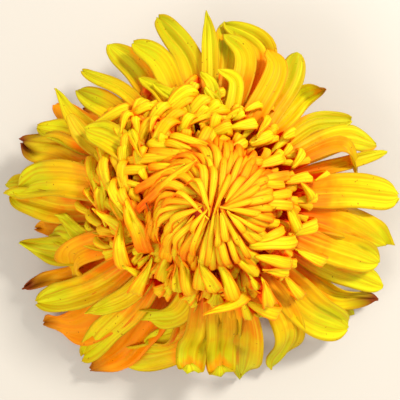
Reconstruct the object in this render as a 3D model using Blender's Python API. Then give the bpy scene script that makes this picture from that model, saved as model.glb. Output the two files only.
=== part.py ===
"""Double chrysanthemum bloom, picked with a short stem and laid face up.

Three bodies: the florets fused on their receptacle, the green involucre under them, and the stem.
Every outer and middle floret has its own row below, as the flower grew them. The inner dome, the back
whorl follow a rule with seeded draws.
Layout numbers are millimetres and degrees about the flower's axis; meshes are built in metres.
"""

import math
import random

import bmesh
import bpy
import numpy as np

MM = 0.001
GOLDEN_ANGLE = 137.508

# Receptacle: the solid heart that the florets grow from, as (radius, height) rings
RECEPTACLE = [
    (9.0, 24.3),
    (12.5, 25.6),
    (16.0, 29.5),
    (18.5, 35.0),
    (18.5, 41.0),
    (16.5, 47.0),
    (13.5, 53.0),
    (9.5, 57.5),
    (4.5, 60.3),
]
RECEPTACLE_SIDES = 14
SEED_SIDES = 6
GROUND_SIZE = 0.3
SEED_IN_HEART = [(2.0, 34.0), (2.0, 38.0)]

# Involucre: cup of overlapping bracts under the bloom
CUP = [(3.3, 16.0), (7.2, 17.4), (10.4, 20.4), (11.8, 24.0)]
CUP_SIDES = 28
SEED_IN_CUP = [(1.0, 20.0), (1.0, 21.0)]
BRACT_ROWS = [(4.6, 14, 16.9, 4.2), (8.0, 17, 18.4, 5.0), (10.5, 20, 20.6, 5.4)]
BRACT_WIDTH = 3.0
BRACT_THICKNESS = 1.8
BRACT_FOOT_DEPTH = 2.0
BRACT_FOOT_DROP = 0.6
BRACT_WIDEST = 0.30
BRACT_POINT = 0.62
BRACT_STAND_OFF = 0.55
BRACT_FLARE = 1.15
BRACT_KEEL = 0.25
BRACT_SIDE_FOLD = 0.4

# Stem: a short ribbed peduncle with a slanted cut
STEM_TOP = 15.7
STEM_CUT = 2.6
STEM_SLANT = 0.9
STEM_RADIUS = 2.7
STEM_RIB = 0.28
STEM_SIDES = 20
STEM_LEAN = 1.2
STEM_WAIST = 0.25
STEM_LEVELS = (0.0, 0.3, 0.65, 1.0)

# Where florets leave the receptacle
ROOT_REACH = 11.5
ROOT_HEIGHT = 24.0
ROOT_RISE = 0.30
ROOT_TRAIL = 0.6
SHOULDER_SHARE = 0.45
SHOULDER_LIFT = 5.0

# The bloom is rounder than a cone: rows between the heart and the rim stand higher by this arch
ARCH_HEIGHT = 9.0
ARCH_INNER = 5.0
ARCH_OUTER = 63.0
ARCH_DRAW_IN = 190.0

# Middle and dome florets leave the heart higher up
MIDDLE_ROOT_REACH = 15.0
MIDDLE_ROOT_HEIGHT = 19.0
MIDDLE_ROOT_RISE = 0.6
MIDDLE_ROOT_TRAIL = 0.3
MIDDLE_SHOULDER_SHARE = 0.86
MIDDLE_SHOULDER_DROP = 5.5

# Floret thickness at the midrib, and steps along its length
OUTER_THICKNESS = 1.0
INNER_THICKNESS = 1.2
OUTER_STEPS = 5
INNER_STEPS = 4

# Outline of a floret: its neck and tip as shares of the width, and where it has grown full
NECK = 0.45
DOME_NECK = 0.6
FULL_FROM = 0.62
TIP_WIDTH = 0.72
TIP_SET_BACK = 0.275
TIP_THINNING = 0.6
CURL_FROM = 0.6

# Colour and roughness of each body
FLORET_YELLOW = (0.92, 0.58, 0.02)
FLORET_ROUGHNESS = 0.5
BRACT_GREEN = (0.10, 0.20, 0.04)
BRACT_ROUGHNESS = 0.65
STEM_GREEN = (0.16, 0.24, 0.06)
STEM_ROUGHNESS = 0.6

# The exact solver leaves these crossing blades in separate pieces, and loses the cut at the ground
SOLVER = "MANIFOLD"

# Triangles kept in one fused body, fewer than the joins leave
MOST_TRIANGLES = 11800

# Outer florets: crest azimuth, reach, height, tip azimuth, reach, height, width, cup, curl of the tip
OUTER = [
    (89, 45, 27, 90, 57, 24, 5.0, 0.35, 0),
    (83, 44, 25, 84, 55, 20, 7.0, 0.35, 0),
    (69, 47, 27, 84, 54, 22, 8.0, 0.5, 0),
    (75, 43, 29, 84, 50, 25, 6.5, 0.5, 0),
    (62, 42, 33, 68, 47, 31, 7.0, 0.5, 0),
    (55, 41, 27, 58, 51, 29, 8.0, -0.3, 0),
    (47, 40, 24, 44, 49, 24, 7.5, 0.6, 90),
    (36, 40, 19, 29, 51, 20, 6.0, 0.4, 0),
    (25, 45, 22, 18, 57, 12, 8.0, -0.3, 0),
    (15, 48, 17, 15, 58, 18, 4.5, 0.7, 0),
    (22, 44, 26, 7, 50, 8, 4.8, 0.5, 0),
    (4, 42, 21, 1, 61, 14, 10.5, 0.25, 0),
    (352, 43, 19, 346, 60, 10, 11.0, -0.3, 0),
    (340, 44, 21, 340, 58, 14, 10.5, 0.4, 0),
    (332, 46, 15, 334, 64, 8, 8.5, -0.35, 0),
    (323, 51, 10, 330, 65, 6, 8.5, 1.0, 0),
    (320, 50, 7, 322, 62, 3, 8.0, 0.5, 0),
    (313, 47, 17, 318, 62, 8, 13.0, 0.55, 0),
    (303, 49, 18, 292, 60, 4, 10.0, -0.4, 0),
    (298, 39, 24, 291, 37, 20, 5.0, -0.3, 0),
    (286, 46, 17, 282, 61, 2, 11.5, 0.35, 0),
    (278, 46, 17, 276, 57, 3, 9.0, -0.3, -110),
    (270, 45, 17, 266, 56, 4, 9.0, -0.3, -110),
    (282, 37, 22, 280, 48, 9, 6.0, 0.4, 0),
    (273, 36, 22, 272, 46, 10, 6.0, 0.4, 0),
    (256, 36, 20, 240, 45, 13, 7.6, 0.5, 0),
    (262, 41, 14, 248, 51, 8, 7.0, 0.4, 0),
    (260, 49, 10, 243, 62, 3, 12.0, 0.35, 0),
    (243, 57, 5, 238, 66, 2, 12.0, 0.7, 60),
    (234, 49, 14, 234, 65, 5, 9.5, 0.35, 0),
    (227, 57, 8, 220, 69, 4, 15.0, 0.6, 0),
    (217, 50, 14, 213, 64, 8, 10.5, 0.6, 0),
    (231, 40, 21, 224, 52, 16, 6.5, 0.5, 0),
    (210, 50, 9, 206, 66, 8, 7.0, 0.9, 0),
    (201, 48, 14, 194, 61, 14, 10.0, 0.5, 0),
    (192, 47, 8, 191, 57, 4, 8.5, 0.5, 0),
    (198, 40, 20, 195, 51, 14, 9.0, -0.3, 0),
    (203, 42, 24, 213, 49, 10, 9.0, 0.5, 0),
    (201, 35, 27, 187, 47, 20, 5.5, 0.5, 0),
    (172, 44, 25, 178, 60, 14, 11.0, 0.4, 0),
    (183, 46, 19, 180, 63, 13, 9.5, 0.5, 0),
    (175, 50, 13, 177, 65, 8, 8.0, 0.5, 0),
    (162, 45, 20, 164, 61, 14, 13.0, 0.45, 0),
    (155, 46, 18, 157, 58, 14, 8.0, 0.4, 0),
    (149, 45, 25, 144, 56, 27, 6.5, 0.5, 0),
    (149, 47, 13, 148, 58, 8, 8.0, 0.5, 0),
    (154, 38, 27, 149, 48, 29, 6.0, 0.5, 0),
    (148, 30, 36, 150, 41, 31, 8.2, 0.5, 0),
    (136, 39, 26, 140, 52, 20, 8.0, 0.5, 0),
    (138, 33, 29, 142, 41, 25, 5.0, 0.5, 0),
    (140, 42, 11, 144, 50, 6, 5.5, 0.5, 0),
    (127, 39, 29, 134, 54, 24, 4.6, 0.8, 0),
    (118, 43, 23, 122, 57, 18, 8.5, 0.5, 0),
    (108, 41, 29, 115, 52, 25, 7.5, 0.5, 0),
    (97, 42, 25, 105, 58, 20, 8.5, 0.5, 0),
    (76, 34, 34, 85, 38, 32, 4.4, 0.5, 0),
    (87, 32, 34, 93, 37, 32, 3.8, 0.5, 0),
    (84, 26, 36, 91, 32, 36, 4.0, 0.5, 0),
    (113, 33, 33, 119, 41, 29, 4.2, 0.5, 0),
    (106, 29, 36, 115, 37, 32, 3.6, 0.5, 0),
    (127, 27, 36, 132, 33, 32, 3.8, 0.5, 0),
]

# Middle florets, hooked or standing like flames, in the same columns without the curl
MIDDLE = [
    (121, 31.5, 36, 131, 32.5, 35, 3.6, 0.6),
    (131, 35.0, 33, 144, 38.5, 31, 4.6, 0.6),
    (132, 33.0, 38, 139, 31.5, 37, 3.2, 0.6),
    (131, 30.5, 39, 135, 28.0, 39, 3.4, 0.6),
    (138, 29.0, 38, 143, 23.5, 42, 4.0, 0.7),
    (122, 27.5, 39, 127, 25.5, 40, 3.0, 0.6),
    (124, 25.0, 41, 121, 20.0, 42, 3.4, 0.6),
    (135, 22.5, 42, 117, 16.0, 46, 4.4, 0.6),
    (141, 20.5, 43, 112, 12.5, 50, 3.6, 0.6),
    (154, 24.5, 40, 137, 16.5, 46, 3.4, 0.6),
    (162, 25.5, 40, 152, 17.5, 45, 3.4, 0.6),
    (150, 18.0, 46, 139, 13.5, 50, 2.8, 0.6),
    (160, 36.5, 28, 174, 33.0, 30, 5.2, 0.7),
    (158, 30.5, 34, 173, 29.5, 34, 5.8, 0.7),
    (175, 35.5, 30, 181, 33.5, 30, 3.0, 0.7),
    (174, 30.5, 34, 188, 30.0, 33, 4.6, 0.6),
    (176, 26.5, 38, 189, 20.0, 42, 5.6, 0.6),
    (168, 24.0, 40, 168, 18.0, 44, 2.6, 0.6),
    (187, 18.5, 46, 144, 10.0, 56, 4.2, 0.6),
    (172, 19.5, 44, 145, 12.5, 52, 3.4, 0.6),
    (119, 20.0, 44, 100, 15.5, 48, 3.0, 0.6),
    (126, 19.0, 45, 109, 14.0, 49, 2.8, 0.6),
    (100, 27.5, 36, 115, 21.5, 38, 4.8, 0.7),
    (112, 23.5, 38, 118, 22.0, 39, 3.0, 0.6),
    (87, 25.0, 37, 101, 22.0, 39, 3.6, 0.6),
    (80, 24.5, 36, 94, 26.5, 36, 3.4, 0.6),
    (75, 23.0, 39, 89, 21.5, 40, 3.2, 0.6),
    (68, 26.5, 38, 75, 24.0, 39, 4.0, 0.6),
    (58, 25.5, 39, 67, 22.0, 41, 4.6, 0.6),
    (61, 31.5, 35, 65, 28.5, 37, 3.8, 0.6),
    (54, 29.0, 37, 52, 24.0, 41, 3.6, 0.6),
    (46, 26.0, 38, 50, 21.5, 41, 4.6, 0.6),
    (38, 31.5, 35, 39, 29.0, 36, 4.0, 0.6),
    (74, 18.0, 43, 80, 11.5, 48, 3.8, 0.7),
    (57, 19.0, 43, 67, 12.5, 48, 4.2, 0.7),
    (36, 18.0, 45, 49, 12.0, 50, 3.4, 0.6),
    (30, 23.5, 41, 33, 17.0, 45, 4.2, 0.6),
    (17, 23.0, 43, 20, 14.0, 50, 3.6, 0.6),
    (12, 21.0, 45, 16, 15.0, 50, 3.0, 0.6),
    (5, 22.5, 44, 3, 15.5, 50, 3.4, 0.6),
    (356, 22.5, 46, 356, 14.0, 52, 3.4, 0.6),
    (27, 30.5, 36, 23, 27.0, 38, 4.0, 0.6),
    (13, 30.0, 36, 13, 24.5, 39, 4.4, 0.6),
    (13, 36.0, 32, 11, 33.0, 33, 3.4, 0.6),
    (1, 30.0, 36, 7, 27.5, 38, 3.6, 0.6),
    (89, 20.0, 42, 103, 13.5, 47, 4.0, 0.6),
    (84, 20.0, 41, 88, 15.5, 45, 3.4, 0.6),
    (342, 26.5, 40, 356, 21.5, 44, 4.2, 0.6),
    (341, 20.0, 46, 337, 14.5, 51, 3.6, 0.6),
    (338, 22.0, 45, 325, 17.5, 49, 3.4, 0.6),
    (335, 26.5, 42, 323, 19.0, 48, 4.6, 0.6),
    (322, 20.0, 46, 315, 14.5, 51, 3.4, 0.6),
    (323, 29.0, 40, 316, 22.5, 45, 3.8, 0.6),
    (318, 30.5, 38, 312, 26.0, 41, 4.6, 0.6),
    (347, 32.5, 34, 341, 27.0, 38, 5.2, 0.6),
    (332, 39.5, 28, 331, 32.5, 32, 4.6, 0.6),
    (303, 24.5, 42, 298, 16.5, 50, 3.6, 0.7),
    (309, 21.5, 44, 308, 16.5, 50, 3.4, 0.7),
    (285, 29.0, 38, 282, 19.5, 46, 4.6, 0.7),
    (275, 25.0, 42, 266, 18.0, 48, 4.2, 0.7),
    (265, 24.5, 42, 265, 14.5, 50, 4.0, 0.7),
    (261, 26.5, 38, 251, 19.5, 45, 5.0, 0.7),
    (252, 27.0, 37, 246, 21.5, 42, 3.6, 0.7),
    (240, 26.0, 37, 235, 19.0, 43, 4.8, 0.7),
    (251, 19.0, 44, 235, 12.0, 51, 4.4, 0.7),
    (234, 19.5, 44, 219, 11.5, 51, 4.2, 0.7),
    (219, 22.0, 41, 193, 21.0, 44, 4.8, 0.7),
    (218, 19.0, 42, 196, 16.0, 48, 3.2, 0.9),
    (219, 30.5, 36, 203, 26.5, 39, 4.8, 0.7),
    (229, 29.0, 34, 221, 29.5, 37, 3.6, 0.6),
    (232, 34.0, 32, 229, 26.0, 38, 4.8, 0.6),
    (203, 24.0, 38, 189, 29.5, 36, 3.8, 0.6),
    (291, 29.5, 36, 275, 31.0, 37, 3.8, 0.6),
    (300, 28.5, 38, 299, 24.5, 42, 3.2, 0.6),
    (301, 35.5, 33, 303, 29.5, 38, 5.0, 0.7),
    (302, 40.0, 28, 294, 33.5, 31, 4.8, 0.6),
    (314, 41.0, 24, 315, 34.5, 28, 4.6, 0.6),
    (290, 37.5, 28, 289, 31.0, 33, 4.0, 0.6),
    (109, 30.5, 33, 115, 29.5, 34, 4.2, 0.6),
]

# Inner dome, closing over the heart in a swirl, and fuller on one side
DOME_COUNT = 44
DOME_SEED = 9
DOME_APEX = (1.7, -2.0)
DOME_JITTER = 4.0
DOME_WIDTHS = (3.4, 4.3)
DOME_CUP = 0.7
SWIRL_SIDE = 172.0
SWIRL_LEAST = 5.0
SWIRL_OUTER = 36.0
SWIRL_INNER = 60.0
FULL_SIDE = 140.0
FULL_BULGE = 4.0

# Run of the dome from its lowest florets to its highest, as two ends of each measure
DOME_ROOT_REACH = (14.0, 8.0)
DOME_ROOT_HEIGHT = (44.0, 49.0)
DOME_BULGE = (16.8, 11.0)
DOME_SHOULDER_HEIGHT = (45.0, 52.0)
DOME_CREST_HEIGHT = (51.5, 58.5)
DOME_TIP_REACH = (8.5, 0.7)
DOME_TIP_HEIGHT = (56.0, 63.4)
DOME_CREST_SHARE = 0.86
DOME_CREST_TURN = 0.35

# Back whorl, hidden under the rest, that the bloom rests on
BACK_COUNT = 13
BACK_SEED = 3
BACK_JITTER = 5.0
BACK_WIDTH = 9.0
BACK_CUP = 0.35
BACK_ROOT_HEIGHT = 28.0
BACK_SHOULDER = (30.0, 19.0)
BACK_CREST = (41.0, 0.8)
BACK_TIP = (46.5, -0.6)


def place(azimuth, reach, height):
    angle = math.radians(azimuth)
    return np.array([reach * math.cos(angle), reach * math.sin(angle), height])


def arched(azimuth, reach, height):
    """The place raised by the bloom's arch, and drawn in a little as it rises."""
    share = min(1.0, max(0.0, (reach - ARCH_INNER) / (ARCH_OUTER - ARCH_INNER)))
    rise = ARCH_HEIGHT * math.sin(math.pi * share)
    return place(azimuth, reach * (1.0 - rise / ARCH_DRAW_IN), height + rise)


def azimuth_step(start, end):
    return (end - start + 180.0) % 360.0 - 180.0


def rib_through(points, steps):
    """A smooth line through the points, as steps + 1 evenly spaced places."""
    ends = [2 * points[0] - points[1], *points, 2 * points[-1] - points[-2]]
    fine = []
    for a, b, c, d in zip(ends, ends[1:], ends[2:], ends[3:]):
        for t in np.linspace(0.0, 1.0, 12, endpoint=False):
            bend = 2 * b + (c - a) * t + (2 * a - 5 * b + 4 * c - d) * t**2
            fine.append(0.5 * (bend + (3 * b - a - 3 * c + d) * t**3))
    fine.append(points[-1])
    fine = np.array(fine)
    run = np.concatenate([[0.0], np.cumsum(np.linalg.norm(np.diff(fine, axis=0), axis=1))])
    spots = np.linspace(0.0, run[-1], steps + 1)
    return np.stack([np.interp(spots, run, fine[:, k]) for k in range(3)], axis=1)


def turned(vector, axis, angle):
    along = axis * axis.dot(vector) * (1 - math.cos(angle))
    return vector * math.cos(angle) + np.cross(axis, vector) * math.sin(angle) + along


def curled(line, side, degrees):
    """The line with its end bent about its side, up and in for a positive angle."""
    out = [line[0]]
    steps = np.diff(line, axis=0)
    for index, step in enumerate(steps):
        share = max(0.0, ((index + 0.5) / len(steps) - CURL_FROM) / (1.0 - CURL_FROM))
        out.append(out[-1] + turned(step, side, -math.radians(degrees) * share))
    return np.array(out)


def floret(points, width, cup, curl, steps, thickness, neck=NECK, keel_only=False):
    """A closed blade: a spine of sections, each with two edges and one or two midrib points."""
    line = rib_through(points, steps)
    outward = np.array([points[0][0], points[0][1], 0.0])
    outward /= np.linalg.norm(outward)
    side = np.array([-outward[1], outward[0], 0.0])
    if curl:
        line = curled(line, side, curl)
    along = np.gradient(line, axis=0)
    along /= np.linalg.norm(along, axis=1)[:, None]
    rings = []
    for index in range(steps + 1):
        last = index == steps
        side = side - along[index] * side.dot(along[index])
        side /= np.linalg.norm(side)
        face = np.cross(along[index], side)
        grown = math.sin(min(1.0, index / steps / FULL_FROM) * math.pi / 2)
        half = 0.5 * width * (neck + (1 - neck) * grown)
        rise = half * (1 - math.cos(cup)) / cup
        spread = half * math.sin(cup) / cup * (TIP_WIDTH if last else 1.0)
        swell = thickness * (TIP_THINNING if last else 1.0)
        edge = line[index] - along[index] * (TIP_SET_BACK * width if last else 0.0) + face * rise
        under = line[index] - face * swell * (1.0 if keel_only else 0.5)
        ring = [edge + side * spread, under, edge - side * spread]
        if not keel_only:
            ring.append(line[index] + face * swell * 0.5)
        rings.append(ring)
    return np.array(rings)


def add_floret(mesh, rings):
    """The sections joined into one closed skin."""
    count = rings.shape[1]
    rows = [[mesh.verts.new(point * MM) for point in ring] for ring in rings]
    for low, high in zip(rows, rows[1:]):
        for k in range(count):
            n = (k + 1) % count
            mesh.faces.new((low[k], high[k], high[n]))
            mesh.faces.new((low[k], high[n], low[n]))
    first, last = rows[0], rows[-1]
    mesh.faces.new(first[:3])
    mesh.faces.new(last[2::-1])
    if count == 4:
        mesh.faces.new((first[2], first[3], first[0]))
        mesh.faces.new((last[0], last[3], last[2]))


def outer_florets():
    for crest_az, crest_reach, crest_z, tip_az, tip_reach, tip_z, width, cup, curl in OUTER:
        root_az = crest_az - ROOT_TRAIL * azimuth_step(crest_az, tip_az)
        root = place(root_az, ROOT_REACH, ROOT_HEIGHT + ROOT_RISE * crest_z)
        crest = arched(crest_az, crest_reach, crest_z)
        shoulder = root + (crest - root) * SHOULDER_SHARE + np.array([0.0, 0.0, SHOULDER_LIFT])
        points = [root, shoulder, crest, arched(tip_az, tip_reach, tip_z)]
        yield floret(points, width, cup, curl, OUTER_STEPS, OUTER_THICKNESS)


def middle_florets():
    for crest_az, crest_reach, crest_z, tip_az, tip_reach, tip_z, width, cup in MIDDLE:
        root_az = crest_az - MIDDLE_ROOT_TRAIL * azimuth_step(crest_az, tip_az)
        root = place(root_az, MIDDLE_ROOT_REACH, MIDDLE_ROOT_RISE * crest_z + MIDDLE_ROOT_HEIGHT)
        shoulder = arched(crest_az, crest_reach * MIDDLE_SHOULDER_SHARE, crest_z - MIDDLE_SHOULDER_DROP)
        crest = arched(crest_az, crest_reach, crest_z)
        points = [root, shoulder, crest, arched(tip_az, tip_reach, tip_z)]
        yield floret(points, width, cup, 0, INNER_STEPS, INNER_THICKNESS, keel_only=True)


def between(ends, share):
    return ends[0] + (ends[1] - ends[0]) * share


def dome_florets():
    draw = random.Random(DOME_SEED)
    apex = np.array([DOME_APEX[0], DOME_APEX[1], 0.0])
    for index in range(DOME_COUNT):
        share = index / (DOME_COUNT - 1)
        azimuth = index * GOLDEN_ANGLE + draw.uniform(-DOME_JITTER, DOME_JITTER)
        near = max(0.0, math.cos(math.radians(azimuth - SWIRL_SIDE)))
        fuller = (0.5 + 0.5 * math.cos(math.radians(azimuth - FULL_SIDE))) * (1.0 - 0.6 * share)
        swirl = SWIRL_LEAST + near * between((SWIRL_OUTER, SWIRL_INNER), share)
        bulge = between(DOME_BULGE, share) + FULL_BULGE * fuller
        root = place(azimuth, between(DOME_ROOT_REACH, share), between(DOME_ROOT_HEIGHT, share))
        shoulder = place(azimuth, bulge, between(DOME_SHOULDER_HEIGHT, share)) + apex
        crest_height = between(DOME_CREST_HEIGHT, share)
        crest = place(azimuth - DOME_CREST_TURN * swirl, bulge * DOME_CREST_SHARE, crest_height) + apex
        tip = place(azimuth - swirl, between(DOME_TIP_REACH, share), between(DOME_TIP_HEIGHT, share)) + apex
        points = [root, shoulder, crest, tip]
        width = draw.uniform(*DOME_WIDTHS)
        yield floret(points, width, DOME_CUP, 0, INNER_STEPS, INNER_THICKNESS, DOME_NECK, True)


def back_florets():
    draw = random.Random(BACK_SEED)
    for index in range(BACK_COUNT):
        azimuth = 360.0 * index / BACK_COUNT + draw.uniform(-BACK_JITTER, BACK_JITTER)
        root = place(azimuth, ROOT_REACH, BACK_ROOT_HEIGHT)
        shoulder = place(azimuth, *BACK_SHOULDER)
        crest = place(azimuth, *BACK_CREST)
        tip = place(azimuth + draw.uniform(-BACK_JITTER, BACK_JITTER), *BACK_TIP)
        yield floret([root, shoulder, crest, tip], BACK_WIDTH, BACK_CUP, 0, OUTER_STEPS, OUTER_THICKNESS)


def lathe(mesh, rings, sides):
    """A closed turned body, with a point at each end of its axis."""
    rows = []
    for radius, height in rings:
        row = []
        for k in range(sides):
            row.append(mesh.verts.new(place(360.0 * k / sides, radius, height) * MM))
        rows.append(row)
    for low, high in zip(rows, rows[1:]):
        for k in range(sides):
            n = (k + 1) % sides
            mesh.faces.new((low[k], low[n], high[n]))
            mesh.faces.new((low[k], high[n], high[k]))
    foot = mesh.verts.new(np.array([0.0, 0.0, rings[0][1]]) * MM)
    head = mesh.verts.new(np.array([0.0, 0.0, rings[-1][1]]) * MM)
    for k in range(sides):
        n = (k + 1) % sides
        mesh.faces.new((foot, rows[0][n], rows[0][k]))
        mesh.faces.new((head, rows[-1][k], rows[-1][n]))


def material(name, color, roughness):
    made = bpy.data.materials.new(name)
    made.use_nodes = True
    shader = made.node_tree.nodes["Principled BSDF"]
    shader.inputs["Base Color"].default_value = (*color, 1.0)
    shader.inputs["Roughness"].default_value = roughness
    return made


def object_from(mesh, name, home):
    data = bpy.data.meshes.new(name)
    mesh.to_mesh(data)
    mesh.free()
    made = bpy.data.objects.new(name, data)
    home.objects.link(made)
    return made


def joined(body, parts):
    """The body with every object of the collection joined to it, as one outer skin."""
    join = body.modifiers.new("fuse", "BOOLEAN")
    join.operation = "UNION"
    join.operand_type = "COLLECTION"
    join.collection = parts
    join.solver = SOLVER
    bpy.context.view_layer.objects.active = body
    bpy.ops.object.modifier_apply(modifier="fuse")
    for part in list(parts.objects):
        bpy.data.objects.remove(part)
    keep_outer_skin(body)


def thinned(body):
    """Fewer triangles, since the joins leave many slivers."""
    body.data.calc_loop_triangles()
    ratio = MOST_TRIANGLES / len(body.data.loop_triangles)
    if ratio < 1.0:
        thin = body.modifiers.new("thin", "DECIMATE")
        thin.ratio = ratio
        bpy.ops.object.modifier_apply(modifier="thin")


def fused(body, parts, seed_ring):
    """The parts joined to the body and thinned, then joined to a buried seed, which closes thin seams."""
    joined(body, parts)
    thinned(body)
    mesh = bmesh.new()
    lathe(mesh, seed_ring, SEED_SIDES)
    object_from(mesh, "seed", parts)
    joined(body, parts)
    bpy.data.collections.remove(parts)
    return body


def pressed_flat(body):
    """Cuts the body off at the ground, as the florets it rests on are pressed flat there."""
    data = bpy.data.meshes.new("ground")
    mesh = bmesh.new()
    bmesh.ops.create_cube(mesh, size=GROUND_SIZE)
    bmesh.ops.translate(mesh, verts=mesh.verts, vec=(0.0, 0.0, -GROUND_SIZE / 2))
    mesh.to_mesh(data)
    mesh.free()
    ground = bpy.data.objects.new("ground", data)
    bpy.context.scene.collection.objects.link(ground)
    cut = body.modifiers.new("ground", "BOOLEAN")
    cut.operation = "DIFFERENCE"
    cut.object = ground
    cut.solver = SOLVER
    bpy.context.view_layer.objects.active = body
    bpy.ops.object.modifier_apply(modifier="ground")
    bpy.data.objects.remove(ground)
    keep_outer_skin(body)


def keep_outer_skin(body):
    """Drops loose scraps and the walls of sealed hollows, which leaves the largest shell."""
    mesh = bmesh.new()
    mesh.from_mesh(body.data)
    bmesh.ops.triangulate(mesh, faces=mesh.faces)
    left = set(mesh.faces)
    shells = []
    while left:
        shell = {left.pop()}
        edge = list(shell)
        while edge:
            face = edge.pop()
            near = {other for side in face.edges for other in side.link_faces} & left
            left -= near
            shell |= near
            edge.extend(near)
        shells.append(shell)
    shells.sort(key=len)
    for shell in shells[:-1]:
        bmesh.ops.delete(mesh, geom=list(shell), context="FACES")
    loose = [vert for vert in mesh.verts if not vert.link_faces]
    bmesh.ops.delete(mesh, geom=loose, context="VERTS")
    mesh.to_mesh(body.data)
    mesh.free()


def petals_on(collection, florets):
    for number, rings in enumerate(florets):
        mesh = bmesh.new()
        add_floret(mesh, rings)
        object_from(mesh, f"floret_{number}", collection)


def build_florets(home):
    parts = bpy.data.collections.new("florets")
    home.children.link(parts)
    rows = [outer_florets(), middle_florets(), dome_florets(), back_florets()]
    petals_on(parts, [rings for row in rows for rings in row])
    mesh = bmesh.new()
    lathe(mesh, RECEPTACLE, RECEPTACLE_SIDES)
    body = fused(object_from(mesh, "ray_florets", home), parts, SEED_IN_HEART)
    pressed_flat(body)
    body.data.materials.clear()
    body.data.materials.append(material("floret_yellow", FLORET_YELLOW, FLORET_ROUGHNESS))
    return body


def add_bract(mesh, azimuth, reach, height, length):
    """A pointed scale that hugs the cup, as a flat diamond with a raised midrib."""
    angle = math.radians(azimuth)
    out = np.array([math.cos(angle), math.sin(angle), 0.0])
    side = np.array([-out[1], out[0], 0.0])
    up = np.array([0.0, 0.0, 1.0])
    low = out * (reach - BRACT_FOOT_DEPTH) + up * (height - BRACT_FOOT_DROP)
    wide = out * (reach + BRACT_STAND_OFF) + up * (height + BRACT_WIDEST * length)
    top = min(height + BRACT_POINT * length, CUP[-1][1])
    high = out * (reach + BRACT_FLARE) + up * top
    half = side * BRACT_WIDTH * 0.5
    fold = out * BRACT_SIDE_FOLD
    spots = [low, wide - half - fold, wide + half - fold, high]
    spots += [wide + out * BRACT_KEEL, wide - out * BRACT_THICKNESS]
    foot, left, right, point, rib, inner = [mesh.verts.new(spot * MM) for spot in spots]
    for face in (
        (foot, rib, left),
        (foot, right, rib),
        (left, rib, point),
        (rib, right, point),
        (foot, left, inner),
        (foot, inner, right),
        (left, point, inner),
        (right, inner, point),
    ):
        mesh.faces.new(face)
    bmesh.ops.recalc_face_normals(mesh, faces=mesh.faces)


def build_involucre(home):
    parts = bpy.data.collections.new("bracts")
    home.children.link(parts)
    for number, (reach, count, height, length) in enumerate(BRACT_ROWS):
        for k in range(count):
            azimuth = 360.0 * (k + 0.5 * (number % 2)) / count
            mesh = bmesh.new()
            add_bract(mesh, azimuth, reach, height, length)
            object_from(mesh, f"bract_{number}_{k}", parts)
    mesh = bmesh.new()
    lathe(mesh, CUP, CUP_SIDES)
    body = fused(object_from(mesh, "involucre", home), parts, SEED_IN_CUP)
    body.data.materials.clear()
    body.data.materials.append(material("bract_green", BRACT_GREEN, BRACT_ROUGHNESS))
    return body


def build_stem(home):
    mesh = bmesh.new()
    rows = []
    for level in STEM_LEVELS:
        row = []
        for k in range(STEM_SIDES):
            azimuth = 360.0 * k / STEM_SIDES
            reach = STEM_RADIUS + (STEM_RIB if k % 2 else 0.0) - STEM_WAIST * level * (1 - level)
            spot = place(azimuth, reach, 0.0)
            spot[0] += STEM_LEAN * (1 - level) ** 2
            slant = STEM_SLANT * spot[0] / STEM_RADIUS if level == 0.0 else 0.0
            spot[2] = STEM_CUT + (STEM_TOP - STEM_CUT) * level + slant
            row.append(mesh.verts.new(spot * MM))
        rows.append(row)
    for low, high in zip(rows, rows[1:]):
        for k in range(STEM_SIDES):
            n = (k + 1) % STEM_SIDES
            mesh.faces.new((low[k], low[n], high[n], high[k]))
    mesh.faces.new(rows[0][::-1])
    mesh.faces.new(rows[-1])
    bmesh.ops.recalc_face_normals(mesh, faces=mesh.faces)
    body = object_from(mesh, "stem", home)
    body.data.materials.append(material("stem_green", STEM_GREEN, STEM_ROUGHNESS))
    return body


def centre_on_floor(bodies):
    """Moves the whole flower so that its box is centred on the origin and stands on z = 0."""
    spots = np.array([vert.co for body in bodies for vert in body.data.vertices])
    low, high = spots.min(axis=0), spots.max(axis=0)
    shift = np.array([(low[0] + high[0]) / 2, (low[1] + high[1]) / 2, low[2]])
    for body in bodies:
        for vert in body.data.vertices:
            vert.co = [a - b for a, b in zip(vert.co, shift)]


def build():
    for old in list(bpy.data.objects):
        bpy.data.objects.remove(old)
    home = bpy.context.scene.collection
    bodies = [build_florets(home), build_involucre(home), build_stem(home)]
    centre_on_floor(bodies)


build()
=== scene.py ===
"""Looks of a double chrysanthemum bloom that lies face up on its outer florets.

The flower is dressed from the outside in: outer rays, middle rays, the dome, then what is underneath.
Layout numbers are millimetres and degrees about the flower's axis; floor, lights and camera are in metres.
"""

import math
import random

import bpy
import numpy as np
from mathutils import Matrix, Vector


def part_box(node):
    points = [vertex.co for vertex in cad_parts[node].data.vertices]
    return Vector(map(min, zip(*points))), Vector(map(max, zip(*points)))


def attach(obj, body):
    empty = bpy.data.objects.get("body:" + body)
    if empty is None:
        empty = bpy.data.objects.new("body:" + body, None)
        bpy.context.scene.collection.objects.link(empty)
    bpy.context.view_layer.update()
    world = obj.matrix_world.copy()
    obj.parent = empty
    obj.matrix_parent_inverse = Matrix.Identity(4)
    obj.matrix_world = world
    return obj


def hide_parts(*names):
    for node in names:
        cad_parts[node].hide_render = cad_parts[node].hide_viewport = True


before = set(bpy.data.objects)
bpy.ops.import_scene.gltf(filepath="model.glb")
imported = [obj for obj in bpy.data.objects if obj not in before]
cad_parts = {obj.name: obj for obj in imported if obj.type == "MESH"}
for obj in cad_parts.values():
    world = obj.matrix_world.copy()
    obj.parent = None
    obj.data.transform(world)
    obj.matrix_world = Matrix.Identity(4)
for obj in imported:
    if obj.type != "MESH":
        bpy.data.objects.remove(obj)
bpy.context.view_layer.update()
bpy.ops.object.select_all(action="DESELECT")

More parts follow.
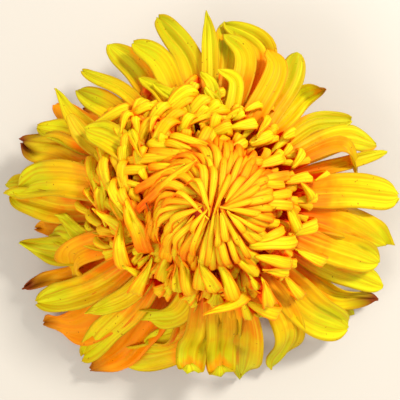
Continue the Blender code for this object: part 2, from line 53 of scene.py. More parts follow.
# Outer ray florets
# Long strap-shaped petals, soft and a little fleshy, each with two or three grooves along it.
# They spread from under the head, arch over and droop; the oldest ones wither brown at the tip.
MM = 0.001
GOLDEN_ANGLE = 137.508
ARCH_HEIGHT = 9.0
ARCH_INNER = 5.0
ARCH_OUTER = 63.0
ARCH_DRAW_IN = 190.0
OUTER_THICKNESS = 0.38
OUTER_COLUMNS = 12
OUTER_ROWS = 32
SPINE_STEPS = 60
SPLINE_STEPS = 20
TIP_CROWDING = 1.45
LEVEL_PULL = 0.12
HOOK_TURN_FROM = 0.1
HOOK_TURN_SPAN = 0.45
TIP_BLUNT = (2.8, 0.45)
TIP_SHARP = (-1.2, 0.5)
TIP_LEAST = 0.03
WITHER_NARROWING = 0.25
WITHER_CRUMPLE = 0.5
CRUMPLE_FROM = 0.35
EDGE_ONLY = 2.5
GROOVE_SETS = ((-0.4, 0.4), (-0.35, 0.3), (-0.5, 0.0, 0.5), (0.0,), (-0.15, 0.55))
LOWEST_POINT = 0.35
WORN_SIDE = 225.0
WORN_CRUMPLE = (0.2, 0.45)
WORN_WAVE = (0.07, 0.10)
WORN_SWAY = 0.25
ROOT_REACH = 9.5
OUTER_ROOT_HEIGHT = (24.8, 0.3)
OUTER_ROOT_TURN = 0.6
OUTER_SHOULDER = 0.45
OUTER_SHOULDER_RISE = 5.0

cup_low, cup_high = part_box("involucre")
AXIS = (Vector(cup_low) + Vector(cup_high)) / 2


def place(azimuth, reach, height):
    angle = math.radians(azimuth)
    return np.array([reach * math.cos(angle), reach * math.sin(angle), height])


def arched(azimuth, reach, height):
    """The place raised by the bloom's arch, and drawn in a little as it rises."""
    share = min(1.0, max(0.0, (reach - ARCH_INNER) / (ARCH_OUTER - ARCH_INNER)))
    rise = ARCH_HEIGHT * math.sin(math.pi * share)
    return place(azimuth, reach * (1.0 - rise / ARCH_DRAW_IN), height + rise)


def azimuth_step(start, end):
    return (end - start + 180.0) % 360.0 - 180.0


def flat_blade(name, columns, rows):
    """One flat petal blank, a unit across and a unit long, with a smooth face."""
    bpy.ops.mesh.primitive_grid_add(x_subdivisions=columns, y_subdivisions=rows, size=1.0)
    blade = bpy.context.object
    blade.name = name
    bpy.ops.object.mode_set(mode="EDIT")
    bpy.ops.transform.translate(value=(0.0, 0.5, 0.0))
    bpy.ops.transform.resize(value=(2.0, 1.0, 1.0), center_override=(0.0, 0.0, 0.0))
    bpy.ops.object.mode_set(mode="OBJECT")
    blade.data.uv_layers[0].name = "petal"
    return blade


def spine_through(points):
    """A smooth line through the points, evenly stepped, and its length."""
    ends = [2 * points[0] - points[1], *points, 2 * points[-1] - points[-2]]
    fine = []
    for a, b, c, d in zip(ends, ends[1:], ends[2:], ends[3:]):
        for t in np.linspace(0.0, 1.0, SPLINE_STEPS, endpoint=False):
            bend = 2 * b + (c - a) * t + (2 * a - 5 * b + 4 * c - d) * t**2
            fine.append(0.5 * (bend + (3 * b - a - 3 * c + d) * t**3))
    fine.append(points[-1])
    fine = np.array(fine)
    run = np.concatenate([[0.0], np.cumsum(np.linalg.norm(np.diff(fine, axis=0), axis=1))])
    spots = np.linspace(0.0, run[-1], SPINE_STEPS + 1)
    line = np.stack([np.interp(spots, run, fine[:, k]) for k in range(3)], axis=1)
    return line, run[-1]


def turned(vector, axis, angle):
    along = axis * axis.dot(vector) * (1 - math.cos(angle))
    return vector * math.cos(angle) + np.cross(axis, vector) * math.sin(angle) + along


def curled(line, side, degrees, start):
    """The line with its end bent about its side, up and in for a positive angle."""
    out = [line[0]]
    steps = np.diff(line, axis=0)
    total = sum(max(0.0, (k + 0.5) / len(steps) - start) for k in range(len(steps)))
    gone = 0.0
    for index, step in enumerate(steps):
        gone += max(0.0, (index + 0.5) / len(steps) - start) / total
        out.append(out[-1] + turned(step, side, -math.radians(degrees) * gone))
    return np.array(out)


def grow(blade, points, width, habit):
    """A copy of the blank bent along a smooth line, then cupped, grooved, waved and cut to its outline."""
    look = {
        "cup": 0.6,
        "cup_tip": None,
        "twist": 0.0,
        "curl": 0.0,
        "curl_from": 0.62,
        "flute": 0.12,
        "level": 0.3,
        "hook": False,
        "point": 0.25,
        "tip_from": 0.7,
        "neck": 0.4,
        "full": 0.55,
        "wave": 0.07,
        "sway": 0.0,
        "crumple": 0.2,
        "notch": 0.0,
        "wither": 0.0,
        "olive": 0.0,
        "orange_tint_and_shade": 0.0,
        "seed": 0,
    }
    look.update(habit)
    draw = random.Random(look["seed"])
    phase = [draw.uniform(0.0, 6.28) for _ in range(8)]
    line, length = spine_through(points)
    outward = np.array([points[0][0], points[0][1], 0.0])
    outward /= np.linalg.norm(outward)
    side = np.array([-outward[1], outward[0], 0.0])
    if look["curl"]:
        line = curled(line, side, look["curl"], look["curl_from"])
    along = np.gradient(line, axis=0)
    along /= np.linalg.norm(along, axis=1)[:, None]
    sides = []
    end = along[-SPINE_STEPS // 4 :].mean(axis=0)
    back_up = np.array([end[1], -end[0], 0.0]) / np.hypot(end[0], end[1])
    for index, step in enumerate(along):
        flat_side = np.array([-step[1], step[0], 0.0])
        flat_side *= 1.0 if flat_side.dot(side) > 0 else -1.0
        side = side + flat_side * look["level"] * LEVEL_PULL * index / len(along)
        side = side - step * side.dot(step)
        side /= np.linalg.norm(side)
        if look["hook"]:
            turn = min(1.0, max(0.0, (index / len(along) - HOOK_TURN_FROM) / HOOK_TURN_SPAN))
            lean = side * (1.0 - turn) + back_up * turn
            lean = lean - step * lean.dot(step)
            sides.append(lean / np.linalg.norm(lean))
        else:
            sides.append(side)
    sides = np.array(sides)
    faces = np.cross(along, sides)
    mesh = blade.data.copy()
    flat = np.empty(len(mesh.vertices) * 3)
    mesh.vertices.foreach_get("co", flat)
    flat = flat.reshape(-1, 3)
    across = flat[:, 0]
    share = 1.0 - (1.0 - flat[:, 1]) ** TIP_CROWDING
    past = np.clip((share - look["tip_from"]) / (1.0 - look["tip_from"]), 0.0, 1.0)
    lobes = 0.5 - 0.5 * np.cos(3.0 * math.pi * across)
    share = share - look["notch"] / length * lobes * past**4
    spot = share * SPINE_STEPS
    low = np.minimum(spot.astype(int), SPINE_STEPS - 1)
    part = (spot - low)[:, None]
    centre = line[low] * (1 - part) + line[low + 1] * part
    lie = sides[low] * (1 - part) + sides[low + 1] * part
    face = faces[low] * (1 - part) + faces[low + 1] * part
    angle = np.radians(look["twist"]) * share
    lie, face = (
        lie * np.cos(angle)[:, None] + face * np.sin(angle)[:, None],
        face * np.cos(angle)[:, None] - lie * np.sin(angle)[:, None],
    )
    grown = np.clip(share / look["full"], 0.0, 1.0)
    grown = grown * grown * (3.0 - 2.0 * grown)
    half = width / 2 * (look["neck"] + (1 - look["neck"]) * grown)
    late, steep = np.array(TIP_BLUNT) + look["point"] * np.array(TIP_SHARP)
    half = half * np.maximum(TIP_LEAST, 1.0 - past**late) ** steep
    half = half * (1.0 - WITHER_NARROWING * look["wither"] * np.clip((share - 0.5) / 0.5, 0.0, 1.0))
    half = half * (1.0 + 0.06 * np.sin(9.0 * share + phase[6]) * np.sign(across))
    cup_end = look["cup"] if look["cup_tip"] is None else look["cup_tip"]
    cup = look["cup"] + (cup_end - look["cup"]) * share
    cup = np.where(np.abs(cup) < 0.02, 0.02, cup)
    spread = half * np.sin(cup * across) / cup
    rise = half * (1 - np.cos(cup * across)) / cup
    fade = np.minimum(1.0, share * 3.0) * np.minimum(1.0, (1.1 - share) * 4.0)
    for spot_across in draw.choice(GROOVE_SETS):
        spot_across += draw.uniform(-0.1, 0.1)
        narrow = draw.uniform(0.10, 0.22)
        drift = draw.uniform(-0.25, 0.25) * (share - 0.5)
        groove = np.exp(-(((across - spot_across - drift) / narrow) ** 2))
        rise = rise - look["flute"] * draw.uniform(0.6, 1.3) * half * 2 * groove * fade
    edge = np.abs(across) ** EDGE_ONLY
    ripple = np.sin(8.0 * share + phase[1] + np.where(across > 0, 1.7, 0.0))
    ripple = ripple + 0.5 * np.sin(19.0 * share + phase[2] + np.where(across > 0, 0.9, 0.0))
    rise = rise + look["wave"] * width * edge * ripple * share
    spread = spread + look["sway"] * width * np.sin(math.pi * share * 1.5 + phase[7] * 0.2) * share
    crush = look["crumple"] + WITHER_CRUMPLE * look["wither"]
    crush = crush * np.clip((share - CRUMPLE_FROM) / (1.0 - CRUMPLE_FROM), 0.0, 1.0)
    folds = np.sin(13 * share + 3 * across + phase[3]) + 0.6 * np.sin(26 * share - 5 * across + phase[4])
    rise = rise + crush * folds
    spread = spread + crush * 0.6 * np.sin(17 * share + phase[5])
    shape = centre + lie * spread[:, None] + face * rise[:, None]
    shape[:, 2] = np.maximum(shape[:, 2], LOWEST_POINT)
    shape = shape * MM + np.array([AXIS.x, AXIS.y, 0.0])
    mesh.vertices.foreach_set("co", shape.ravel())
    tint = mesh.color_attributes.new("habit", "FLOAT_COLOR", "POINT")
    # The fourth channel is the petal's orange: partly its own tint, partly painted shade for petals lying
    # under others; the shade section below raises it further.
    marks = (draw.random(), look["wither"], look["olive"], 0.5 * look["orange_tint_and_shade"])
    marks = np.tile(marks, (len(mesh.vertices), 1))
    tint.data.foreach_set("color", marks.ravel())
    petal = bpy.data.objects.new("petal", mesh)
    bpy.context.scene.collection.objects.link(petal)
    return petal


def gathered(petals, name, thickness):
    """The petals as one piece, each given its thickness and a smooth surface."""
    bpy.ops.object.select_all(action="DESELECT")
    for petal in petals:
        petal.select_set(True)
    bpy.context.view_layer.objects.active = petals[0]
    bpy.ops.object.join()
    piece = bpy.context.object
    piece.name = name
    wall = piece.modifiers.new("wall", "SOLIDIFY")
    wall.thickness = thickness * MM
    wall.offset = 0.0
    bpy.ops.object.modifier_apply(modifier="wall")
    bpy.ops.object.shade_smooth()
    bpy.ops.object.select_all(action="DESELECT")
    return piece


# crest azimuth, reach, height, tip azimuth, reach, height, width, and the petal's own habit
OUTER = [
    (89, 45, 27, 90, 57, 24, 5.0, dict(cup=0.35, olive=0.6, point=1.0)),
    (83, 44, 25, 84, 55, 20, 7.0, dict(cup=0.35, olive=0.6)),
    (69, 47, 27, 84, 54, 22, 8.0, dict(olive=0.5, twist=-20)),
    (75, 43, 29, 84, 50, 25, 6.5, dict(olive=0.4)),
    (62, 42, 33, 68, 47, 31, 7.0, dict(orange_tint_and_shade=0.5)),
    (55, 41, 27, 58, 51, 29, 8.0, dict(cup=-0.3, olive=0.7, point=0.0, tip_from=0.75)),
    (47, 40, 24, 44, 49, 24, 7.5, dict(cup=0.6, curl=90, wither=0.5, crumple=0.4)),
    (36, 40, 19, 29, 51, 20, 6.0, dict(cup=0.4, olive=0.7, point=0.0, tip_from=0.75)),
    (25, 45, 22, 18, 57, 12, 8.0, dict(cup=-0.3, olive=0.3)),
    (15, 48, 17, 15, 58, 18, 4.5, dict(cup=0.7, olive=0.4)),
    (22, 44, 26, 7, 50, 8, 4.8, dict(olive=0.3)),
    (4, 42, 21, 1, 61, 14, 10.5, dict(cup=0.25, point=0.0, tip_from=0.75, notch=1.0)),
    (352, 43, 19, 346, 60, 10, 11.0, dict(cup=-0.3, wave=0.5)),
    (340, 44, 21, 340, 58, 14, 10.5, dict(cup=0.4)),
    (332, 46, 15, 334, 64, 8, 8.5, dict(cup=-0.35, point=0.0, tip_from=0.75)),
    (323, 51, 10, 330, 65, 6, 8.5, dict(cup=1.0, wither=0.9)),
    (320, 50, 7, 322, 62, 3, 8.0, dict(olive=0.5)),
    (313, 47, 17, 318, 62, 8, 13.0, dict(cup=0.55)),
    (303, 49, 18, 292, 60, 4, 10.0, dict(cup=-0.4, olive=0.3)),
    (298, 39, 24, 291, 37, 20, 5.0, dict(cup=-0.3, olive=0.5)),
    (286, 46, 17, 282, 61, 2, 11.5, dict(cup=0.35, olive=0.6, twist=25, point=1.0)),
    (277, 42, 20, 276, 54, 9, 9.5, dict(cup=-0.25, curl=240, curl_from=0.7, olive=0.5, tip_from=0.8)),
    (268, 42, 20, 265, 53, 9, 9.5, dict(cup=-0.25, curl=240, curl_from=0.7, olive=0.5, tip_from=0.8)),
    (282, 37, 22, 280, 48, 9, 6.0, dict(cup=0.4)),
    (273, 36, 22, 272, 46, 10, 6.0, dict(cup=0.4, orange_tint_and_shade=0.4)),
    (256, 36, 20, 240, 45, 13, 7.6, dict(flute=0.09)),
    (262, 41, 14, 248, 51, 8, 7.0, dict(cup=0.4)),
    (260, 49, 10, 243, 62, 3, 12.0, dict(cup=0.35, notch=1.2)),
    (243, 57, 5, 238, 66, 2, 12.0, dict(cup=0.7, wither=0.45, orange_tint_and_shade=0.9, crumple=0.5, curl=60)),
    (234, 49, 14, 234, 65, 5, 9.5, dict(cup=0.35, flute=0.09)),
    (227, 57, 8, 220, 69, 4, 15.0, dict(cup=0.6, wither=0.4, orange_tint_and_shade=0.9, crumple=0.5)),
    (217, 50, 14, 213, 64, 8, 10.5, dict(cup=0.6)),
    (231, 40, 21, 224, 52, 16, 6.5, dict(flute=0.08, point=0.8)),
    (210, 50, 9, 206, 66, 8, 7.0, dict(cup=0.9, wither=0.9, orange_tint_and_shade=0.7)),
    (201, 48, 14, 194, 61, 14, 10.0, dict(olive=0.7, point=0.8)),
    (192, 47, 8, 191, 57, 4, 8.5, dict(orange_tint_and_shade=0.8, wither=0.3)),
    (198, 40, 20, 195, 51, 14, 9.0, dict(cup=-0.3, wave=0.5)),
    (203, 42, 24, 213, 49, 10, 9.0, dict(orange_tint_and_shade=0.5, wither=0.4, crumple=0.5)),
    (201, 35, 27, 187, 47, 20, 5.5, dict(root=212)),
    (172, 44, 25, 178, 60, 14, 11.0, dict(cup=0.4)),
    (183, 46, 19, 180, 63, 13, 9.5, dict(olive=0.2)),
    (175, 50, 13, 177, 65, 8, 8.0, dict(olive=0.8)),
    (162, 45, 20, 164, 61, 14, 13.0, dict(cup=0.45, wither=0.75, crumple=0.9, orange_tint_and_shade=0.3)),
    (155, 46, 18, 157, 58, 14, 8.0, dict(cup=0.4)),
    (149, 45, 25, 144, 56, 27, 6.5, dict(olive=0.4, point=1.0)),
    (149, 47, 13, 148, 58, 8, 8.0, dict(orange_tint_and_shade=0.8)),
    (154, 38, 27, 149, 48, 29, 6.0, dict(orange_tint_and_shade=0.3, olive=0.8, point=0.0)),
    (148, 30, 36, 150, 41, 31, 8.2, dict(flute=0.10)),
    (136, 39, 26, 140, 52, 20, 8.0, dict(flute=0.08)),
    (138, 33, 29, 142, 41, 25, 5.0, {}),
    (140, 42, 11, 144, 50, 6, 5.5, dict(wither=0.5, orange_tint_and_shade=0.9)),
    (127, 39, 29, 134, 54, 24, 4.6, dict(cup=0.8, olive=0.4, point=0.1, full=0.3)),
    (118, 43, 23, 122, 57, 18, 8.5, dict(olive=0.4)),
    (108, 41, 29, 115, 52, 25, 7.5, dict(flute=0.08, olive=0.3)),
    (97, 42, 25, 105, 58, 20, 8.5, dict(olive=0.7)),
    (76, 34, 34, 85, 38, 32, 4.4, {}),
    (87, 32, 34, 93, 37, 32, 3.8, {}),
    (84, 26, 36, 91, 32, 36, 4.0, {}),
    (113, 33, 33, 119, 41, 29, 4.2, {}),
    (106, 29, 36, 115, 37, 32, 3.6, {}),
    (127, 27, 36, 132, 33, 32, 3.8, {}),
]

blade = flat_blade("outer_blank", OUTER_COLUMNS, OUTER_ROWS)
petals = []
for number, (caz, creach, cz, taz, treach, tz, width, habit) in enumerate(OUTER):
    worn = max(0.0, math.cos(math.radians(taz - WORN_SIDE)))
    crumple = WORN_CRUMPLE[0] + WORN_CRUMPLE[1] * worn
    wave = WORN_WAVE[0] + WORN_WAVE[1] * worn
    habit = dict(dict(crumple=crumple, wave=wave, sway=WORN_SWAY * worn), **habit)
    habit["seed"] = 100 + number
    root_azimuth = habit.pop("root", caz - OUTER_ROOT_TURN * azimuth_step(caz, taz))
    root = place(root_azimuth, ROOT_REACH, OUTER_ROOT_HEIGHT[0] + OUTER_ROOT_HEIGHT[1] * cz)
    crest = arched(caz, creach, cz)
    shoulder = root * (1.0 - OUTER_SHOULDER) + crest * OUTER_SHOULDER
    shoulder[2] += OUTER_SHOULDER_RISE
    petals.append(grow(blade, [root, shoulder, crest, arched(taz, treach, tz)], width, habit))
bpy.data.objects.remove(blade)
outer_rays = gathered(petals, "outer_rays", OUTER_THICKNESS)


RIDGE_SHADE_TURNS = 22.0
BLOTCH_SCALE = 140.0
VEINS_ACROSS = 14.0
VEINS_ALONG = 1.6
SPECK_SCALE = 900.0
PALE_VEIN = (0.90, 0.84, 0.020)
SHADE_ORANGE = (0.98, 0.24, 0.001)
SHADE_RED = (0.95, 0.09, 0.001)
SPECK_BROWN = (0.35, 0.09, 0.003)
WITHERED_BROWN = (0.30, 0.055, 0.006)
PETAL_SPECULAR = 0.12
VEIN_BUMP = 0.0004
LIGHT_THROUGH = 0.52


def petal_finish(name, stops, olive, edge, rim_shade_from, streak_and_shade, shine):
    """Petal skin: a run of colour from base to tip, its red base partly painted shade; veins; painted
    shade along the rims, in lines along the grooves and where the marks ask; specks and withered brown.
    """
    made = bpy.data.materials.new(name)
    made.use_nodes = True
    tree = made.node_tree
    shader = tree.nodes["Principled BSDF"]

    def node(kind, **values):
        new = tree.nodes.new(kind)
        for key, value in values.items():
            setattr(new, key, value)
        return new

    def link(start, end):
        tree.links.new(start, end)

    def mixed(first, second, amount):
        mix = node("ShaderNodeMix", data_type="RGBA")
        for socket, value in ((mix.inputs[0], amount), (mix.inputs[6], first), (mix.inputs[7], second)):
            if isinstance(value, (tuple, float)):
                socket.default_value = (*value, 1.0) if isinstance(value, tuple) else value
            else:
                link(value, socket)
        return mix.outputs[2]

    def maths(kind, first, second):
        step = node("ShaderNodeMath", operation=kind)
        for socket, value in zip(step.inputs, (first, second)):
            if isinstance(value, float):
                socket.default_value = value
            else:
                link(value, socket)
        return step.outputs[0]

    def ranged(value, low, high, to_low, to_high):
        step = node("ShaderNodeMapRange")
        link(value, step.inputs[0])
        for socket, number in zip(step.inputs[1:5], (low, high, to_low, to_high)):
            socket.default_value = number
        return step.outputs[0]

    uv = node("ShaderNodeUVMap", uv_map="petal")
    parts = node("ShaderNodeSeparateXYZ")
    link(uv.outputs[0], parts.inputs[0])
    across, along = parts.outputs[0], parts.outputs[1]
    marks = node("ShaderNodeAttribute", attribute_name="habit")
    split = node("ShaderNodeSeparateColor")
    link(marks.outputs["Color"], split.inputs[0])
    chance, wither, green = split.outputs[0], split.outputs[1], split.outputs[2]
    orange_tint_and_shade = marks.outputs["Alpha"]

    place_on = node("ShaderNodeTexCoord")
    blotch = node("ShaderNodeTexNoise")
    blotch.inputs["Scale"].default_value = BLOTCH_SCALE
    blotch.inputs["Detail"].default_value = 3.0
    link(place_on.outputs["Object"], blotch.inputs["Vector"])
    shifted = maths("ADD", along, ranged(blotch.outputs[0], 0.3, 0.7, -0.10, 0.10))
    shifted = maths("ADD", shifted, ranged(chance, 0.0, 1.0, -0.08, 0.08))
    ramp = node("ShaderNodeValToRGB")
    link(shifted, ramp.inputs[0])
    while len(ramp.color_ramp.elements) < len(stops):
        ramp.color_ramp.elements.new(0.5)
    for element, (position, color) in zip(ramp.color_ramp.elements, stops):
        element.position = position
        element.color = (*color, 1.0)
    color = ramp.outputs[0]

    color = mixed(color, olive, maths("MULTIPLY", maths("MULTIPLY", green, along), 0.9))

    stretch = node("ShaderNodeCombineXYZ")
    link(maths("MULTIPLY", across, VEINS_ACROSS), stretch.inputs[0])
    link(maths("MULTIPLY", along, VEINS_ALONG), stretch.inputs[1])
    link(maths("MULTIPLY", chance, 40.0), stretch.inputs[2])
    vein = node("ShaderNodeTexNoise")
    vein.inputs["Scale"].default_value = 1.0
    vein.inputs["Detail"].default_value = 4.0
    link(stretch.outputs[0], vein.inputs["Vector"])
    color = mixed(color, streak_and_shade, ranged(vein.outputs[0], 0.50, 0.66, 0.0, 0.55))
    color = mixed(color, PALE_VEIN, ranged(vein.outputs[0], 0.46, 0.34, 0.0, 0.5))

    # Painted shade: three or four lines along each petal in the streak colour, for the shade in its
    # grooves.
    ridge_shade = maths("SINE", maths("ADD", maths("MULTIPLY", across, RIDGE_SHADE_TURNS), chance), 0.0)
    color = mixed(color, streak_and_shade, ranged(ridge_shade, 0.72, 1.0, 0.0, 0.5))

    # Painted shade: each petal turns to its edge colour towards its long edges, for the shade where it
    # rolls away and where petals overlap.
    rim = ranged(maths("ABSOLUTE", maths("SUBTRACT", across, 0.5), 0.0), rim_shade_from, 0.5, 0.0, 0.85)
    color = mixed(color, edge, rim)
    # Painted shade: the fourth mark channel turns the petal orange, then red, where it lies deep or under
    # its neighbours; on some petals it is partly their own orange tint.
    color = mixed(color, SHADE_ORANGE, ranged(orange_tint_and_shade, 0.05, 0.55, 0.0, 0.85))
    color = mixed(color, SHADE_RED, ranged(orange_tint_and_shade, 0.45, 0.95, 0.0, 0.9))

    speck = node("ShaderNodeTexNoise")
    speck.inputs["Scale"].default_value = SPECK_SCALE
    speck.inputs["Detail"].default_value = 1.0
    link(place_on.outputs["Object"], speck.inputs["Vector"])
    specks = ranged(speck.outputs[0], 0.74, 0.78, 0.0, 1.0)
    color = mixed(color, SPECK_BROWN, maths("MULTIPLY", specks, 0.7))

    dry = ranged(maths("ADD", along, maths("MULTIPLY", wither, 0.35)), 0.95, 1.20, 0.0, 1.0)
    dry = maths("MULTIPLY", dry, ranged(wither, 0.0, 0.3, 0.0, 1.0))
    color = mixed(color, WITHERED_BROWN, dry)
    link(color, shader.inputs["Base Color"])
    shader.inputs["Roughness"].default_value = shine
    shader.inputs["Specular IOR Level"].default_value = PETAL_SPECULAR

    bump = node("ShaderNodeBump")
    bump.inputs["Strength"].default_value = 0.6
    bump.inputs["Distance"].default_value = VEIN_BUMP
    link(vein.outputs[0], bump.inputs["Height"])
    link(bump.outputs[0], shader.inputs["Normal"])

    glow = node("ShaderNodeBsdfTranslucent")
    link(color, glow.inputs["Color"])
    both = node("ShaderNodeMixShader")
    both.inputs[0].default_value = LIGHT_THROUGH
    link(shader.outputs[0], both.inputs[1])
    link(glow.outputs[0], both.inputs[2])
    link(both.outputs[0], tree.nodes["Material Output"].inputs["Surface"])
    return made


# From base to tip; the deep red-orange of the base is partly the petal's own colour and partly painted
# shade deep in the head.
OUTER_RUN = [
    (0.16, (0.95, 0.13, 0.001)),
    (0.34, (0.96, 0.34, 0.002)),
    (0.48, (0.90, 0.64, 0.004)),
    (0.72, (0.76, 0.76, 0.008)),
]
OUTER_OLIVE = (0.44, 0.44, 0.010)
OUTER_EDGE_SHADE = (0.60, 0.40, 0.005)
OUTER_STREAK_AND_SHADE = (0.72, 0.40, 0.003)
outer_skin = petal_finish("outer_petal_skin", OUTER_RUN, OUTER_OLIVE, OUTER_EDGE_SHADE, 0.43, OUTER_STREAK_AND_SHADE, 0.5)
outer_rays.data.materials.append(outer_skin)
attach(outer_rays, "root")
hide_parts("ray_florets")

# Middle ray florets
# Shorter petals that stand up and hook over towards the heart, so their bright backs show.
# Each grows from the receptacle between the outer rays and the dome; their bases are deep orange, partly
# their own colour and partly painted shade.
MIDDLE_THICKNESS = 0.34
MIDDLE_COLUMNS = 10
MIDDLE_ROWS = 24

# crest azimuth, reach, height, tip azimuth, reach, height, width, and the petal's own habit
POINTED = dict(point=0.6, tip_from=0.5, wave=0.25, crumple=0.5, cup=0.4)
BLUNT = dict(point=0.0, tip_from=0.755)
MIDDLE = [
    (121, 31.5, 36, 131, 32.5, 35, 3.6, {}),
    (131, 35.0, 33, 144, 38.5, 31, 4.6, {}),
    (132, 33.0, 38, 139, 31.5, 37, 3.2, {}),
    (131, 30.5, 39, 135, 28.0, 39, 3.4, {}),
    (138, 29.0, 38, 143, 23.5, 42, 4.0, POINTED),
    (122, 27.5, 39, 127, 25.5, 40, 3.0, {}),
    (124, 25.0, 41, 121, 20.0, 42, 3.4, {}),
    (135, 22.5, 42, 117, 16.0, 46, 4.4, {}),
    (141, 20.5, 43, 112, 12.5, 50, 3.6, {}),
    (154, 24.5, 40, 137, 16.5, 46, 3.4, {}),
    (162, 25.5, 40, 152, 17.5, 45, 3.4, {}),
    (150, 18.0, 46, 139, 13.5, 50, 2.8, {}),
    (160, 36.5, 28, 174, 33.0, 30, 5.2, POINTED),
    (158, 30.5, 34, 173, 29.5, 34, 5.8, POINTED),
    (175, 35.5, 30, 181, 33.5, 30, 3.0, POINTED),
    (174, 30.5, 34, 188, 30.0, 33, 4.6, {}),
    (176, 26.5, 38, 189, 20.0, 42, 5.6, {}),
    (168, 24.0, 40, 168, 18.0, 44, 2.6, {}),
    (187, 18.5, 46, 144, 10.0, 56, 3.0, {}),
    (172, 19.5, 44, 145, 12.5, 52, 2.8, {}),
    (119, 20.0, 44, 100, 15.5, 48, 3.0, {}),
    (126, 19.0, 45, 109, 14.0, 49, 2.8, {}),
    (100, 27.5, 36, 115, 21.5, 38, 4.8, BLUNT),
    (112, 23.5, 38, 118, 22.0, 39, 3.0, {}),
    (87, 25.0, 37, 101, 22.0, 39, 3.6, {}),
    (80, 24.5, 36, 94, 26.5, 36, 3.4, {}),
    (75, 23.0, 39, 89, 21.5, 40, 3.2, {}),
    (68, 26.5, 38, 75, 24.0, 39, 4.0, {}),
    (58, 25.5, 39, 67, 22.0, 41, 4.6, {}),
    (61, 31.5, 35, 65, 28.5, 37, 3.8, {}),
    (54, 29.0, 37, 52, 24.0, 41, 3.6, POINTED),
    (46, 26.0, 38, 50, 21.5, 41, 4.6, BLUNT),
    (38, 31.5, 35, 39, 29.0, 36, 4.0, BLUNT),
    (74, 18.0, 43, 80, 11.5, 48, 3.8, POINTED),
    (57, 19.0, 43, 67, 12.5, 48, 4.2, POINTED),
    (36, 18.0, 45, 49, 12.0, 50, 3.4, {}),
    (30, 23.5, 41, 33, 17.0, 45, 4.2, {}),
    (17, 23.0, 43, 20, 14.0, 50, 3.6, {}),
    (12, 21.0, 45, 16, 15.0, 50, 3.0, {}),
    (5, 22.5, 44, 3, 15.5, 50, 3.4, {}),
    (356, 22.5, 46, 356, 14.0, 52, 3.4, {}),
    (27, 30.5, 36, 23, 27.0, 38, 4.0, {}),
    (13, 30.0, 36, 13, 24.5, 39, 4.4, {}),
    (13, 36.0, 32, 11, 33.0, 33, 3.4, {}),
    (1, 30.0, 36, 7, 27.5, 38, 3.6, {}),
    (89, 20.0, 42, 103, 13.5, 47, 4.0, BLUNT),
    (84, 20.0, 41, 88, 15.5, 45, 3.4, {}),
    (342, 26.5, 40, 356, 21.5, 44, 4.2, POINTED),
    (341, 20.0, 46, 337, 14.5, 51, 3.6, {}),
    (338, 22.0, 45, 325, 17.5, 49, 3.4, {}),
    (335, 26.5, 42, 323, 19.0, 48, 4.6, BLUNT),
    (322, 20.0, 46, 315, 14.5, 51, 3.4, {}),
    (323, 29.0, 40, 316, 22.5, 45, 3.8, {}),
    (318, 30.5, 38, 312, 26.0, 41, 4.6, {}),
    (347, 32.5, 34, 341, 27.0, 38, 5.2, {}),
    (332, 39.5, 28, 331, 32.5, 32, 4.6, {}),
    (303, 24.5, 42, 298, 16.5, 50, 3.6, POINTED),
    (309, 21.5, 44, 308, 16.5, 50, 3.4, POINTED),
    (285, 29.0, 38, 282, 19.5, 46, 4.6, {}),
    (275, 25.0, 42, 266, 18.0, 48, 4.2, {}),
    (265, 24.5, 42, 265, 14.5, 50, 4.0, POINTED),
    (261, 26.5, 38, 251, 19.5, 45, 5.0, {}),
    (252, 27.0, 37, 246, 21.5, 42, 3.6, {}),
    (240, 26.0, 37, 235, 19.0, 43, 4.8, {}),
    (251, 19.0, 44, 235, 12.0, 51, 4.4, POINTED),
    (234, 19.5, 44, 219, 11.5, 51, 4.2, POINTED),
    (219, 22.0, 41, 193, 21.0, 44, 4.8, POINTED),
    (218, 19.0, 42, 196, 16.0, 48, 3.2, dict(wither=0.5, orange_tint_and_shade=0.7)),
    (219, 30.5, 36, 203, 26.5, 39, 4.8, POINTED),
    (229, 29.0, 34, 221, 29.5, 37, 3.6, {}),
    (232, 34.0, 32, 229, 26.0, 38, 4.8, {}),
    (203, 24.0, 38, 189, 29.5, 36, 3.8, {}),
    (291, 29.5, 36, 275, 31.0, 37, 3.8, {}),
    (300, 28.5, 38, 299, 24.5, 42, 3.2, {}),
    (301, 35.5, 33, 303, 29.5, 38, 5.0, POINTED),
    (302, 40.0, 28, 294, 33.5, 31, 4.8, {}),
    (314, 41.0, 24, 315, 34.5, 28, 4.6, {}),
    (290, 37.5, 28, 289, 31.0, 33, 4.0, {}),
    (109, 30.5, 33, 115, 29.5, 34, 4.2, {}),
]

MIDDLE_FULLNESS = 0.82
MIDDLE_LENGTH = 1.5
MIDDLE_ROOT_HEIGHT = (17.0, 0.5)
MIDDLE_ROOT_TURN = 0.3
MIDDLE_SHOULDER = (0.86, 5.5)
RAGGED_SIDE = 255.0
RAGGED_FULLNESS = 0.3
RAGGED_CRUMPLE = 0.25

